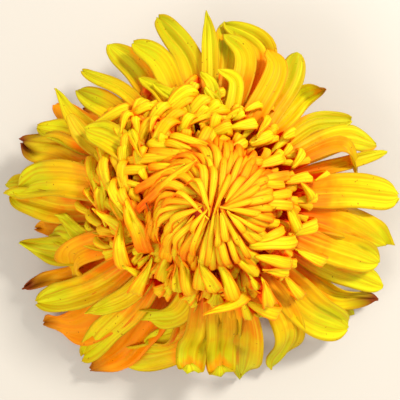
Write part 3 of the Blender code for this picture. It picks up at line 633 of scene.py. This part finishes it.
blade = flat_blade("middle_blank", MIDDLE_COLUMNS, MIDDLE_ROWS)
petals = []
for number, (caz, creach, cz, taz, treach, tz, width, habit) in enumerate(MIDDLE):
    draw = random.Random(300 + number)
    ragged = max(0.0, math.cos(math.radians(caz - RAGGED_SIDE)))
    habit = dict(
        dict(
            cup=0.7 - 0.35 * ragged,
            cup_tip=draw.uniform(0.2, 1.0) - 0.2 * ragged,
            flute=draw.uniform(0.03, 0.09),
            point=draw.uniform(0.3, 0.7) + 0.3 * ragged,
            tip_from=draw.uniform(0.55, 0.7) - 0.15 * ragged,
            neck=0.35,
            full=0.8,
            hook=True,
            level=0.0,
            crumple=draw.uniform(0.1, 0.35) + RAGGED_CRUMPLE * ragged,
            wave=0.12 + 0.12 * ragged,
            notch=2.4 * ragged if number % 2 else 0.0,
            twist=draw.uniform(-18.0, 18.0),
            seed=300 + number,
        ),
        **habit,
    )
    root_azimuth = caz - MIDDLE_ROOT_TURN * azimuth_step(caz, taz)
    root = place(root_azimuth, ROOT_REACH, MIDDLE_ROOT_HEIGHT[0] + MIDDLE_ROOT_HEIGHT[1] * cz)
    shoulder = arched(caz, creach * MIDDLE_SHOULDER[0], cz - MIDDLE_SHOULDER[1])
    crest = arched(caz, creach, cz)
    tip = crest + (arched(taz, treach, tz) - crest) * MIDDLE_LENGTH
    width *= MIDDLE_FULLNESS + RAGGED_FULLNESS * ragged
    petals.append(grow(blade, [root, shoulder, crest, tip], width, habit))
middle_rays = gathered(petals, "middle_rays", MIDDLE_THICKNESS)

# As above, the deep red-orange base is partly the petal's own colour and partly painted shade.
MIDDLE_RUN = [
    (0.20, (0.90, 0.10, 0.001)),
    (0.33, (0.97, 0.26, 0.002)),
    (0.45, (0.94, 0.58, 0.003)),
    (0.60, (0.84, 0.78, 0.010)),
]
MIDDLE_OLIVE = (0.60, 0.52, 0.01)
STREAK_AND_SHADE = (0.93, 0.34, 0.002)
MIDDLE_EDGE_SHADE = (0.95, 0.28, 0.002)
middle_skin = petal_finish("middle_petal_skin", MIDDLE_RUN, MIDDLE_OLIVE, MIDDLE_EDGE_SHADE, 0.30, STREAK_AND_SHADE, 0.45)
middle_rays.data.materials.append(middle_skin)
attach(middle_rays, "root")
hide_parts("ray_florets")

# Florets between the rows
# More of the same petals, a little lower and in every gap, so that no bare base can be seen.
# They are as real as the rest: a double head carries two hundred florets and more.
FILL_COUNT = 180
FILL_SEED = 6
FILL_INNER = 20.0
FILL_OUTER = 31.0
FILL_CROWDED = 9.0
FILL_SLOPE = ((18.0, 26.0, 34.0, 43.0), (42.5, 37.0, 30.0, 19.5))
FILL_ROOT_HEIGHT = (16.0, 0.5)
FILL_SHOULDER = (0.86, 6.0)
FILL_HOOK = (6.0, 11.0)
FILL_WIDTH = (2.4, 3.5)
RAGGED_WIDENING = 1.4
CROWDED_SIDE = 130.0

draw = random.Random(FILL_SEED)
petals = []
for number in range(FILL_COUNT):
    share = number / (FILL_COUNT - 1)
    azimuth = number * GOLDEN_ANGLE + draw.uniform(-3.0, 3.0)
    crowded = max(0.0, math.cos(math.radians(azimuth - CROWDED_SIDE)))
    ragged = max(0.0, math.cos(math.radians(azimuth - RAGGED_SIDE)))
    outer = FILL_OUTER + FILL_CROWDED * min(1.0, 1.5 * crowded)
    reach = math.sqrt(outer**2 + (FILL_INNER**2 - outer**2) * share) + draw.uniform(-1.5, 1.5)
    height = float(np.interp(reach, *FILL_SLOPE))
    hook = draw.uniform(*FILL_HOOK)
    turn = draw.uniform(-8.0, 8.0) + 22.0 * crowded * min(1.0, max(0.0, (reach - 22.0) / 4.0))
    root = place(azimuth, ROOT_REACH, FILL_ROOT_HEIGHT[0] + FILL_ROOT_HEIGHT[1] * height)
    shoulder = arched(azimuth, reach * FILL_SHOULDER[0], height - FILL_SHOULDER[1])
    crest = arched(azimuth + 0.2 * turn, reach, height)
    tip = arched(azimuth + turn, reach - hook * 0.8, height + 0.35 * hook)
    habit = dict(
        cup=0.8 - 0.4 * ragged,
        cup_tip=draw.uniform(0.4, 1.2) - 0.3 * ragged,
        flute=draw.uniform(0.04, 0.09),
        point=draw.uniform(0.3, 0.8),
        tip_from=draw.uniform(0.5, 0.65) - 0.1 * ragged,
        wither=0.5 if ragged > 0.75 and number % 4 == 0 else 0.0,
        crumple=draw.uniform(0.05, 0.3) + RAGGED_CRUMPLE * ragged,
        wave=0.08 + 0.15 * ragged,
        notch=2.0 * ragged if number % 2 else 0.0,
        hook=True,
        level=0.0,
        neck=0.35,
        full=0.75,
        orange_tint_and_shade=draw.choice((0.0, 0.2, 0.4)),
        twist=draw.uniform(-20.0, 20.0),
        seed=700 + number,
    )
    width = draw.uniform(*FILL_WIDTH) + RAGGED_WIDENING * ragged
    petals.append(grow(blade, [root, shoulder, crest, tip], width, habit))
fill_rays = gathered(petals, "fill_rays", MIDDLE_THICKNESS)

# Hooked florets of the crowded side
# On the upper left the head is fullest: broad petals stand higher there and hook over one another.
# They are rolled over at the tip, so that their lemon backs lie like tiles, with orange between that is
# mostly painted shade.
HOOK_COUNT = 46
HOOK_SEED = 4
HOOK_FROM = 68.0
HOOK_SPAN = 108.0
HOOK_STEP = 0.618
HOOK_INNER = 19.5
HOOK_OUTER = 37.0
HOOK_SLOPE = ((18.0, 26.0, 34.0, 43.0), (44.5, 39.8, 33.5, 24.5))
HOOK_SHOULDER = (0.9, 6.0)
HOOK_LENGTH = (5.0, 10.0)
HOOK_TURN = (4.0, 32.0)
HOOK_WIDTH = (2.8, 4.0)

draw = random.Random(HOOK_SEED)
petals = []
for number in range(HOOK_COUNT):
    share = number / (HOOK_COUNT - 1)
    azimuth = HOOK_FROM + HOOK_SPAN * (number * HOOK_STEP % 1.0) + draw.uniform(-3.0, 3.0)
    middle_side = math.sin(math.pi * (azimuth - HOOK_FROM + 10.0) / (HOOK_SPAN + 20.0))
    outer = HOOK_INNER + (HOOK_OUTER - HOOK_INNER) * (0.35 + 0.65 * middle_side)
    reach = math.sqrt(outer**2 + (HOOK_INNER**2 - outer**2) * share) + draw.uniform(-2.0, 2.0)
    height = float(np.interp(reach, *HOOK_SLOPE)) + draw.uniform(-2.0, 2.0)
    hook = draw.uniform(*HOOK_LENGTH)
    turn = draw.uniform(*HOOK_TURN)
    root = place(azimuth, ROOT_REACH, FILL_ROOT_HEIGHT[0] + FILL_ROOT_HEIGHT[1] * height)
    shoulder = arched(azimuth, reach * HOOK_SHOULDER[0], height - HOOK_SHOULDER[1])
    crest = arched(azimuth + 0.25 * turn, reach, height)
    tip = arched(azimuth + turn, reach - hook * draw.uniform(0.4, 0.7), height - 0.1 * hook)
    habit = dict(
        cup=0.8,
        cup_tip=draw.uniform(0.3, 0.9),
        flute=draw.uniform(0.05, 0.11),
        point=draw.uniform(0.0, 0.5),
        tip_from=draw.uniform(0.65, 0.8),
        crumple=draw.uniform(0.05, 0.35),
        wave=0.12,
        hook=True,
        level=0.0,
        neck=0.35,
        full=0.7,
        orange_tint_and_shade=draw.choice((0.0, 0.0, 0.3)),
        twist=draw.uniform(-28.0, 28.0),
        seed=1200 + number,
    )
    petals.append(grow(blade, [root, shoulder, crest, tip], draw.uniform(*HOOK_WIDTH), habit))
bpy.data.objects.remove(blade)
hook_rays = gathered(petals, "hook_rays", MIDDLE_THICKNESS)
for piece in (fill_rays, hook_rays):
    piece.data.materials.append(middle_skin)
    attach(piece, "root")
    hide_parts("ray_florets")

# Inner ray florets
# Narrow petals folded over the heart like shingles, tips meeting in a swirl at the top of the dome.
# They are the youngest, so they stay curled in; the gaps between them are painted dark red as shade.
INNER_THICKNESS = 0.32
INNER_COLUMNS = 8
INNER_ROWS = 22
INNER_COUNT = 190
INNER_SEED = 9
APEX = np.array([1.7, -2.0, 0.0])
SWIRL_SIDE = 172.0
SWIRL_LEAST = 5.0
SWIRL_OUTER = 36.0
SWIRL_INNER = 85.0
INNER_SHARES = (0.0, 0.4, 0.88, 1.0)
INNER_BULGE = (16.4, 15.8, 14.2, 7.5)
INNER_TIP = (8.5, 5.5, 1.8, 0.2)
INNER_CREST_Z = (49.0, 52.0, 56.5, 61.0)
INNER_TIP_Z = (55.5, 59.0, 62.2, 63.4)
INNER_WIDTH = (1.7, 2.9)
INNER_NARROWING = 0.2
INNER_ROOT_REACH = (9.0, -4.0)
INNER_ROOT_HEIGHT = (40.0, 8.0)
INNER_SLIT = 1.7
# Dome florets are painted more orange towards this side: painted shade for the deep crevices on that side
# of the dome.
ORANGE_SHADE_SIDE = 50.0
WIDE_SIDE = 140.0
WIDE_BULGE = 4.0
WIDE_TIP = 4.5

blade = flat_blade("inner_blank", INNER_COLUMNS, INNER_ROWS)
draw = random.Random(INNER_SEED)
petals = []
for number in range(INNER_COUNT):
    share = number / (INNER_COUNT - 1)
    azimuth = number * GOLDEN_ANGLE + draw.uniform(-4.0, 4.0)
    wide = (0.5 + 0.5 * math.cos(math.radians(azimuth - WIDE_SIDE))) * (1.0 - 0.6 * share)
    near = max(0.0, math.cos(math.radians(azimuth - SWIRL_SIDE)))
    bulge, inward, high, top = (
        float(np.interp(share, INNER_SHARES, values))
        for values in (INNER_BULGE, INNER_TIP, INNER_CREST_Z, INNER_TIP_Z)
    )
    swirl = SWIRL_LEAST + near * (SWIRL_OUTER + (SWIRL_INNER - SWIRL_OUTER) * share)
    swirl += draw.uniform(-6.0, 6.0)
    bulge += draw.uniform(-0.8, 0.8) + WIDE_BULGE * wide
    inward += draw.uniform(-2.4, 1.6) - 0.8 * near * share
    inward += WIDE_TIP * near * (1.0 - share) ** 1.5
    high += draw.uniform(-0.5, 0.5) - 0.35 * WIDE_BULGE * wide
    top += draw.uniform(-0.9, 0.5) - 1.5 * near * (1.0 - share)
    aside = max(-1.0, min(1.0, 1.6 * math.cos(math.radians(azimuth)))) * INNER_SLIT * share
    root_reach = INNER_ROOT_REACH[0] + INNER_ROOT_REACH[1] * share
    root = place(azimuth, root_reach, INNER_ROOT_HEIGHT[0] + INNER_ROOT_HEIGHT[1] * share)
    shoulder = place(azimuth, bulge * 0.97, high - 4.5) + APEX
    crest = place(azimuth - 0.35 * swirl, bulge * 0.86, high + 2.0) + APEX
    tip = place(azimuth - swirl, inward, top) + APEX + np.array([aside, 0.15 * aside, 0.0])
    habit = dict(
        cup=0.75,
        cup_tip=draw.uniform(0.3, 0.7),
        flute=draw.uniform(0.04, 0.12),
        neck=0.3,
        full=0.7,
        hook=True,
        level=0.0,
        point=draw.uniform(0.4, 0.9),
        tip_from=draw.uniform(0.55, 0.8),
        sway=draw.uniform(-0.4, 0.4),
        twist=draw.uniform(-22.0, 22.0),
        wave=0.08,
        crumple=0.08,
        orange_tint_and_shade=0.35 * max(0.0, math.cos(math.radians(azimuth - ORANGE_SHADE_SIDE))),
        seed=500 + number,
    )
    width = draw.uniform(*INNER_WIDTH) * (1.0 - INNER_NARROWING * share) + 0.5 * near * (1.0 - share)
    petals.append(grow(blade, [root, shoulder, crest, tip], width, habit))
bpy.data.objects.remove(blade)
inner_rays = gathered(petals, "inner_rays", INNER_THICKNESS)

# As above, the deep red-orange base is partly the petal's own colour and partly painted shade.
INNER_RUN = [
    (0.16, (0.90, 0.08, 0.001)),
    (0.27, (0.96, 0.24, 0.002)),
    (0.40, (0.95, 0.58, 0.003)),
    (0.56, (0.90, 0.82, 0.014)),
]
INNER_EDGE_SHADE = (0.95, 0.20, 0.002)
inner_skin = petal_finish("inner_petal_skin", INNER_RUN, MIDDLE_OLIVE, INNER_EDGE_SHADE, 0.22, STREAK_AND_SHADE, 0.45)
inner_rays.data.materials.append(inner_skin)
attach(inner_rays, "root")
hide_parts("ray_florets")

# Back whorl
# The oldest, lowest florets, softer than the rest; they are painted duller orange as shade under the head,
# and some wither.
# They arch down behind the head and carry it, pressed flat at their ends.
BACK_COUNT = 13
BACK_SEED = 3
BACK_WIDTH = 9.0
BACK_ROOT_HEIGHT = 27.5
BACK_SHOULDER = (30.0, 19.0)
BACK_CREST = (41.0, 1.4)
BACK_TIP = (46.5, 0.4)

blade = flat_blade("back_blank", OUTER_COLUMNS, OUTER_ROWS)
draw = random.Random(BACK_SEED)
petals = []
for number in range(BACK_COUNT):
    azimuth = 360.0 * number / BACK_COUNT + draw.uniform(-5.0, 5.0)
    root = place(azimuth, ROOT_REACH, BACK_ROOT_HEIGHT)
    shoulder = place(azimuth, *BACK_SHOULDER)
    crest = place(azimuth + draw.uniform(-3.0, 3.0), *BACK_CREST)
    tip = place(azimuth + draw.uniform(-5.0, 5.0), *BACK_TIP)
    # The orange mark on these florets is painted shade, for the head that hangs over them.
    habit = dict(cup=0.35, orange_tint_and_shade=0.3, wither=draw.choice((0.0, 0.0, 0.4)), seed=800 + number)
    petals.append(grow(blade, [root, shoulder, crest, tip], BACK_WIDTH, habit))
bpy.data.objects.remove(blade)
back_rays = gathered(petals, "back_rays", OUTER_THICKNESS)
back_rays.data.materials.append(outer_skin)
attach(back_rays, "root")
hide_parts("ray_florets")

# Painted shade between the petals
# Every petal is painted deeper orange, then red, where its neighbours stand above it: painted shade for
# the low light that reaches it only through other petals. The bloom's surface height is averaged over a
# grid, finely and coarsely, to find where.
SHADE_CELL = 0.4
SHADE_HALF = 80.0
BACK_SHADE = 0.25
OUTER_SHADE = 0.35
CREVICE_BLUR = 4
CREVICE_DEPTH = (0.1, 1.8)
VALLEY_BLUR = 60
VALLEY_DEPTH = (1.5, 11.0)
SHADE_CURVE = 0.8
GAP_FILLS = 3

cells = int(2 * SHADE_HALF / SHADE_CELL)
surface = np.zeros((cells, cells))
petal_pieces = outer_rays, middle_rays, fill_rays, hook_rays, inner_rays, back_rays
places = {}
for piece in petal_pieces:
    flat = np.empty(len(piece.data.vertices) * 3)
    piece.data.vertices.foreach_get("co", flat)
    flat = flat.reshape(-1, 3) / MM
    column = ((flat[:, 0] + SHADE_HALF) / SHADE_CELL).astype(int)
    row = ((flat[:, 1] + SHADE_HALF) / SHADE_CELL).astype(int)
    np.maximum.at(surface, (column, row), flat[:, 2])
    places[piece.name] = column, row, flat[:, 2]
for turn in range(GAP_FILLS):
    shifted = [np.roll(surface, step, axis) for axis in (0, 1) for step in (-1, 1)]
    surface = np.where(surface > 0.0, surface, np.max(shifted, axis=0))


def smoothed(heights, times):
    for turn in range(times):
        heights = sum(np.roll(heights, step, 0) for step in (-1, 0, 1)) / 3.0
        heights = sum(np.roll(heights, step, 1) for step in (-1, 0, 1)) / 3.0
    return heights


crevices = smoothed(surface, CREVICE_BLUR), CREVICE_DEPTH
valleys = smoothed(surface, VALLEY_BLUR), VALLEY_DEPTH
for piece in petal_pieces:
    most = {outer_rays: OUTER_SHADE, back_rays: BACK_SHADE}.get(piece, 1.0)
    column, row, height = places[piece.name]
    tint = piece.data.color_attributes["habit"]
    marks = np.empty(len(height) * 4)
    tint.data.foreach_get("color", marks)
    marks = marks.reshape(-1, 4)
    for level, (shallow, deep) in (crevices, valleys):
        depth = np.clip((level[column, row] - height - shallow) / (deep - shallow), 0.0, 1.0)
        marks[:, 3] = np.maximum(marks[:, 3], depth**SHADE_CURVE * most)
    tint.data.foreach_set("color", marks.ravel())

# Receptacle
# The domed heart that every floret grows from, of firm flesh.
# Only a little of it shows, between the petals at the top of the dome; its deep red-orange colour is
# painted shade.
RECEPTACLE_HALF = Vector((12.5, 12.5, 17.0))
RECEPTACLE_HEIGHT = 41.5
RECEPTACLE_SHADE_COLOR = (0.80, 0.07, 0.001, 1.0)

bpy.ops.mesh.primitive_uv_sphere_add(segments=32, ring_count=16, radius=1.0)
receptacle = bpy.context.object
receptacle.name = "receptacle"
bpy.ops.object.mode_set(mode="EDIT")
bpy.ops.mesh.select_all(action="SELECT")
bpy.ops.transform.resize(value=RECEPTACLE_HALF * MM, center_override=(0.0, 0.0, 0.0))
bpy.ops.transform.translate(value=(AXIS.x, AXIS.y, RECEPTACLE_HEIGHT * MM))
bpy.ops.object.mode_set(mode="OBJECT")
bpy.ops.object.shade_smooth()
heart = bpy.data.materials.new("receptacle_skin")
heart.use_nodes = True
skin = heart.node_tree.nodes["Principled BSDF"]
skin.inputs["Base Color"].default_value = RECEPTACLE_SHADE_COLOR
skin.inputs["Roughness"].default_value = 0.7
receptacle.data.materials.append(heart)
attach(receptacle, "root")
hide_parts("ray_florets")
bpy.ops.object.select_all(action="DESELECT")

# Involucre
# The green cup under the head, leathery and finely hairy, that holds every floret's foot.
# Three rows of pointed bracts overlap on it like tiles; each has a thin, pale, papery rim.
CUP_RINGS = ((3.2, 15.9), (4.6, 16.2), (7.2, 17.3), (9.2, 18.9), (10.4, 20.4), (11.3, 22.2), (11.8, 24.0))
CUP_SIDES = 56
BRACT_ROWS = ((4.6, 14, 16.9, 4.2), (8.0, 17, 18.4, 5.0), (10.5, 20, 20.6, 5.4))
BRACT_WIDTH = 3.2
BRACT_THICKNESS = 0.25
BRACT_COLUMNS = 8
BRACT_LENGTHS = 12
BRACT_SEED = 12
BRACT_WIDEST = 0.38
BRACT_POINT = 0.64
BRACT_TOP = 24.2

bpy.ops.mesh.primitive_circle_add(vertices=CUP_SIDES, radius=CUP_RINGS[0][0] * MM, fill_type="NGON")
cup = bpy.context.object
cup.name = "bract_cup"
bpy.ops.object.mode_set(mode="EDIT")
bpy.ops.mesh.select_all(action="SELECT")
bpy.ops.transform.translate(value=(0.0, 0.0, CUP_RINGS[0][1] * MM))
for (radius, height), (next_radius, next_height) in zip(CUP_RINGS, CUP_RINGS[1:]):
    grown = next_radius / radius
    step = (0.0, 0.0, (next_height - height) * MM)
    bpy.ops.mesh.extrude_region_move(TRANSFORM_OT_translate={"value": step})
    bpy.ops.transform.resize(value=(grown, grown, 1.0), center_override=(0.0, 0.0, next_height * MM))
bpy.ops.mesh.select_all(action="SELECT")
bpy.ops.transform.translate(value=(AXIS.x, AXIS.y, 0.0))
bpy.ops.mesh.normals_make_consistent(inside=False)
bpy.ops.object.mode_set(mode="OBJECT")
bpy.ops.object.shade_smooth()
bpy.ops.object.select_all(action="DESELECT")

blade = flat_blade("bract_blank", BRACT_COLUMNS, BRACT_LENGTHS)
draw = random.Random(BRACT_SEED)
scales = []
for row, (reach, count, height, length) in enumerate(BRACT_ROWS):
    for number in range(count):
        azimuth = 360.0 * (number + 0.5 * (row % 2)) / count + draw.uniform(-2.0, 2.0)
        foot = place(azimuth, reach - 1.5, height - 0.5)
        low = place(azimuth, reach + 0.35, height + 0.15 * length)
        wide = place(azimuth, reach + 0.8, height + BRACT_WIDEST * length)
        top = min(height + BRACT_POINT * length, BRACT_TOP)
        tip = place(azimuth + draw.uniform(-3.0, 3.0), reach + 1.1, top)
        habit = dict(cup=-0.4, point=0.8, tip_from=0.3, neck=0.8, full=0.3, flute=0.03, wave=0.02)
        habit.update(crumple=0.03, level=0.0, seed=900 + 40 * row + number)
        scales.append(grow(blade, [foot, low, wide, tip], BRACT_WIDTH, habit))
bpy.data.objects.remove(blade)
bracts = gathered(scales, "bract_scales", BRACT_THICKNESS)


def plant_green(name, stops, pattern_scale, rim_color, rim_amount, rough_low, rough_high):
    """Matt green skin with lengthwise mottling, fine bumps and, on bracts, a pale rim."""
    made = bpy.data.materials.new(name)
    made.use_nodes = True
    tree = made.node_tree
    shader = tree.nodes["Principled BSDF"]
    on_object = tree.nodes.new("ShaderNodeTexCoord")
    longer = tree.nodes.new("ShaderNodeMapping")
    longer.inputs["Scale"].default_value = (pattern_scale, pattern_scale, pattern_scale * 0.2)
    tree.links.new(on_object.outputs["Object"], longer.inputs["Vector"])
    mottle = tree.nodes.new("ShaderNodeTexNoise")
    mottle.inputs["Scale"].default_value = 1.0
    mottle.inputs["Detail"].default_value = 5.0
    tree.links.new(longer.outputs[0], mottle.inputs["Vector"])
    ramp = tree.nodes.new("ShaderNodeValToRGB")
    tree.links.new(mottle.outputs[0], ramp.inputs[0])
    for element, (position, color) in zip(ramp.color_ramp.elements, stops):
        element.position = position
        element.color = (*color, 1.0)
    uv = tree.nodes.new("ShaderNodeUVMap")
    uv.uv_map = "petal"
    parts = tree.nodes.new("ShaderNodeSeparateXYZ")
    tree.links.new(uv.outputs[0], parts.inputs[0])
    centred = tree.nodes.new("ShaderNodeMath")
    centred.operation = "SUBTRACT"
    centred.inputs[1].default_value = 0.5
    tree.links.new(parts.outputs[0], centred.inputs[0])
    away = tree.nodes.new("ShaderNodeMath")
    away.operation = "ABSOLUTE"
    tree.links.new(centred.outputs[0], away.inputs[0])
    rim = tree.nodes.new("ShaderNodeMapRange")
    tree.links.new(away.outputs[0], rim.inputs[0])
    for socket, number in zip(rim.inputs[1:5], (0.30, 0.46, 0.0, rim_amount)):
        socket.default_value = number
    edged = tree.nodes.new("ShaderNodeMix")
    edged.data_type = "RGBA"
    edged.inputs[7].default_value = (*rim_color, 1.0)
    tree.links.new(rim.outputs[0], edged.inputs[0])
    tree.links.new(ramp.outputs[0], edged.inputs[6])
    tree.links.new(edged.outputs[2], shader.inputs["Base Color"])
    rough = tree.nodes.new("ShaderNodeMapRange")
    tree.links.new(mottle.outputs[0], rough.inputs[0])
    for socket, number in zip(rough.inputs[1:5], (0.3, 0.7, rough_low, rough_high)):
        socket.default_value = number
    tree.links.new(rough.outputs[0], shader.inputs["Roughness"])
    bump = tree.nodes.new("ShaderNodeBump")
    bump.inputs["Strength"].default_value = 0.5
    bump.inputs["Distance"].default_value = 0.0003
    tree.links.new(mottle.outputs[0], bump.inputs["Height"])
    tree.links.new(bump.outputs[0], shader.inputs["Normal"])
    return made


CUP_GREENS = [(0.35, (0.045, 0.11, 0.016)), (0.70, (0.11, 0.20, 0.035))]
BRACT_GREENS = [(0.35, (0.07, 0.15, 0.022)), (0.70, (0.17, 0.27, 0.05))]
PAPERY = (0.42, 0.36, 0.20)
cup.data.materials.append(plant_green("cup_skin", CUP_GREENS, 900.0, PAPERY, 0.0, 0.55, 0.8))
bracts.data.materials.append(plant_green("bract_skin", BRACT_GREENS, 900.0, PAPERY, 0.9, 0.5, 0.75))
for piece in (cup, bracts):
    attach(piece, "root")
    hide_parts("involucre")

# Stem
# A short length of the flower's own stalk, round and finely ribbed, cut across at a slant.
# The cut face is paler and moist. The top runs up into the cup.
STEM_RADIUS = 2.7
STEM_SIDES = 40
STEM_RIB = 0.25
STEM_FOOT = 2.0
STEM_STEPS = ((4.2, 0.55), (4.2, 0.25), (4.9, 0.0))
STEM_LEAN = 1.2
STEM_RIB_TURN = 18.0
STEM_RIB_INSET = 0.08
STEM_CUT_HEIGHT = 3.0
STEM_CUT_SLANT = (-0.30, 0.0, 1.0)
STEM_EDGE = 0.08

bpy.ops.mesh.primitive_circle_add(vertices=STEM_SIDES, radius=STEM_RADIUS * MM, fill_type="NGON")
stem = bpy.context.object
stem.name = "stem_stalk"
bpy.ops.object.mode_set(mode="EDIT")
bpy.ops.mesh.select_all(action="SELECT")
bpy.ops.transform.translate(value=(AXIS.x + STEM_LEAN * MM, AXIS.y, STEM_FOOT * MM))
lean = STEM_LEAN
for rise, next_lean in STEM_STEPS:
    step = ((next_lean - lean) * MM, 0.0, rise * MM)
    bpy.ops.mesh.extrude_region_move(TRANSFORM_OT_translate={"value": step})
    lean = next_lean
bpy.ops.mesh.select_all(action="SELECT")
bpy.ops.mesh.normals_make_consistent(inside=False)
bpy.ops.mesh.select_all(action="DESELECT")
bpy.ops.object.mode_set(mode="OBJECT")
middle = Vector((AXIS.x, AXIS.y, 0.0))
for face in stem.data.polygons:
    outward = face.center - middle
    turn = math.degrees(math.atan2(outward.y, outward.x)) % STEM_RIB_TURN
    face.select = abs(face.normal.z) < 0.5 and turn < STEM_RIB_TURN / 2
bpy.ops.object.mode_set(mode="EDIT")
bpy.ops.mesh.inset(thickness=STEM_RIB_INSET * MM, depth=STEM_RIB * MM, use_even_offset=True)
bpy.ops.mesh.select_all(action="SELECT")
bpy.ops.mesh.bisect(
    plane_co=(AXIS.x + STEM_LEAN * MM, AXIS.y, STEM_CUT_HEIGHT * MM),
    plane_no=STEM_CUT_SLANT,
    use_fill=True,
    clear_inner=True,
)
bpy.ops.object.mode_set(mode="OBJECT")
soften = stem.modifiers.new("soften", "BEVEL")
soften.width = STEM_EDGE * MM
soften.segments = 2
bpy.ops.object.modifier_apply(modifier="soften")
bpy.ops.object.shade_smooth()
STEM_GREENS = [(0.35, (0.09, 0.17, 0.03)), (0.70, (0.20, 0.29, 0.07))]
CUT_GREENS = [(0.35, (0.38, 0.44, 0.16)), (0.70, (0.55, 0.58, 0.28))]
stem.data.materials.append(plant_green("stem_skin", STEM_GREENS, 700.0, PAPERY, 0.0, 0.5, 0.7))
stem.data.materials.append(plant_green("stem_cut", CUT_GREENS, 1500.0, PAPERY, 0.0, 0.35, 0.5))
for face in stem.data.polygons:
    face.material_index = 1 if face.normal.z < -0.8 else 0
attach(stem, "root")
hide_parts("stem")
bpy.ops.object.select_all(action="DESELECT")

# Floor, light and camera
# A plain pale surface that the bloom lies on, and the camera straight above it.
# A small key light stands at the upper right, and a broad, weaker one fills from the lower left.
FLOOR_SIZE = 3.0
FLOOR_DROP = 0.0002
FLOOR_COLOR = (0.42, 0.39, 0.345, 1.0)
SKY_COLOR = (1.0, 0.97, 0.92, 1.0)
AIMED_AT = Vector((0.0, 0.0, 0.03))

bpy.ops.mesh.primitive_plane_add(size=FLOOR_SIZE)
floor = bpy.context.object
floor.name = "floor"
bpy.ops.object.mode_set(mode="EDIT")
bpy.ops.transform.translate(value=(0.0, 0.0, -FLOOR_DROP))
bpy.ops.object.mode_set(mode="OBJECT")
paper = bpy.data.materials.new("floor_paper")
paper.use_nodes = True
sheet = paper.node_tree.nodes["Principled BSDF"]
sheet.inputs["Base Color"].default_value = FLOOR_COLOR
sheet.inputs["Roughness"].default_value = 0.9
floor.data.materials.append(paper)


def lamp(name, place_m, size, power, color):
    light = bpy.data.lights.new(name, "AREA")
    light.size = size
    light.energy = power
    light.color = color
    made = bpy.data.objects.new(name, light)
    bpy.context.scene.collection.objects.link(made)
    made.location = place_m
    made.rotation_euler = (AIMED_AT - Vector(place_m)).to_track_quat("-Z", "Y").to_euler()


lamp("key", (0.26, 0.22, 0.38), 0.08, 3.3, (1.0, 0.98, 0.93))
lamp("fill", (-0.5, -0.4, 0.6), 0.5, 5.5, (1.0, 0.97, 0.93))
scene = bpy.context.scene
scene.view_settings.view_transform = "Standard"
world = bpy.data.worlds.new("studio")
scene.world = world
world.use_nodes = True
sky = world.node_tree.nodes["Background"]
sky.inputs["Color"].default_value = SKY_COLOR
sky.inputs["Strength"].default_value = 1.0

LENS = 60.0
CAMERA_HEIGHT = 0.225
CAMERA_ASIDE = -0.002
view = bpy.data.cameras.new("camera")
view.lens = LENS
view.sensor_width = 36.0
camera = bpy.data.objects.new("camera", view)
scene.collection.objects.link(camera)
camera.location = (AXIS.x + CAMERA_ASIDE, AXIS.y, CAMERA_HEIGHT)
scene.camera = camera
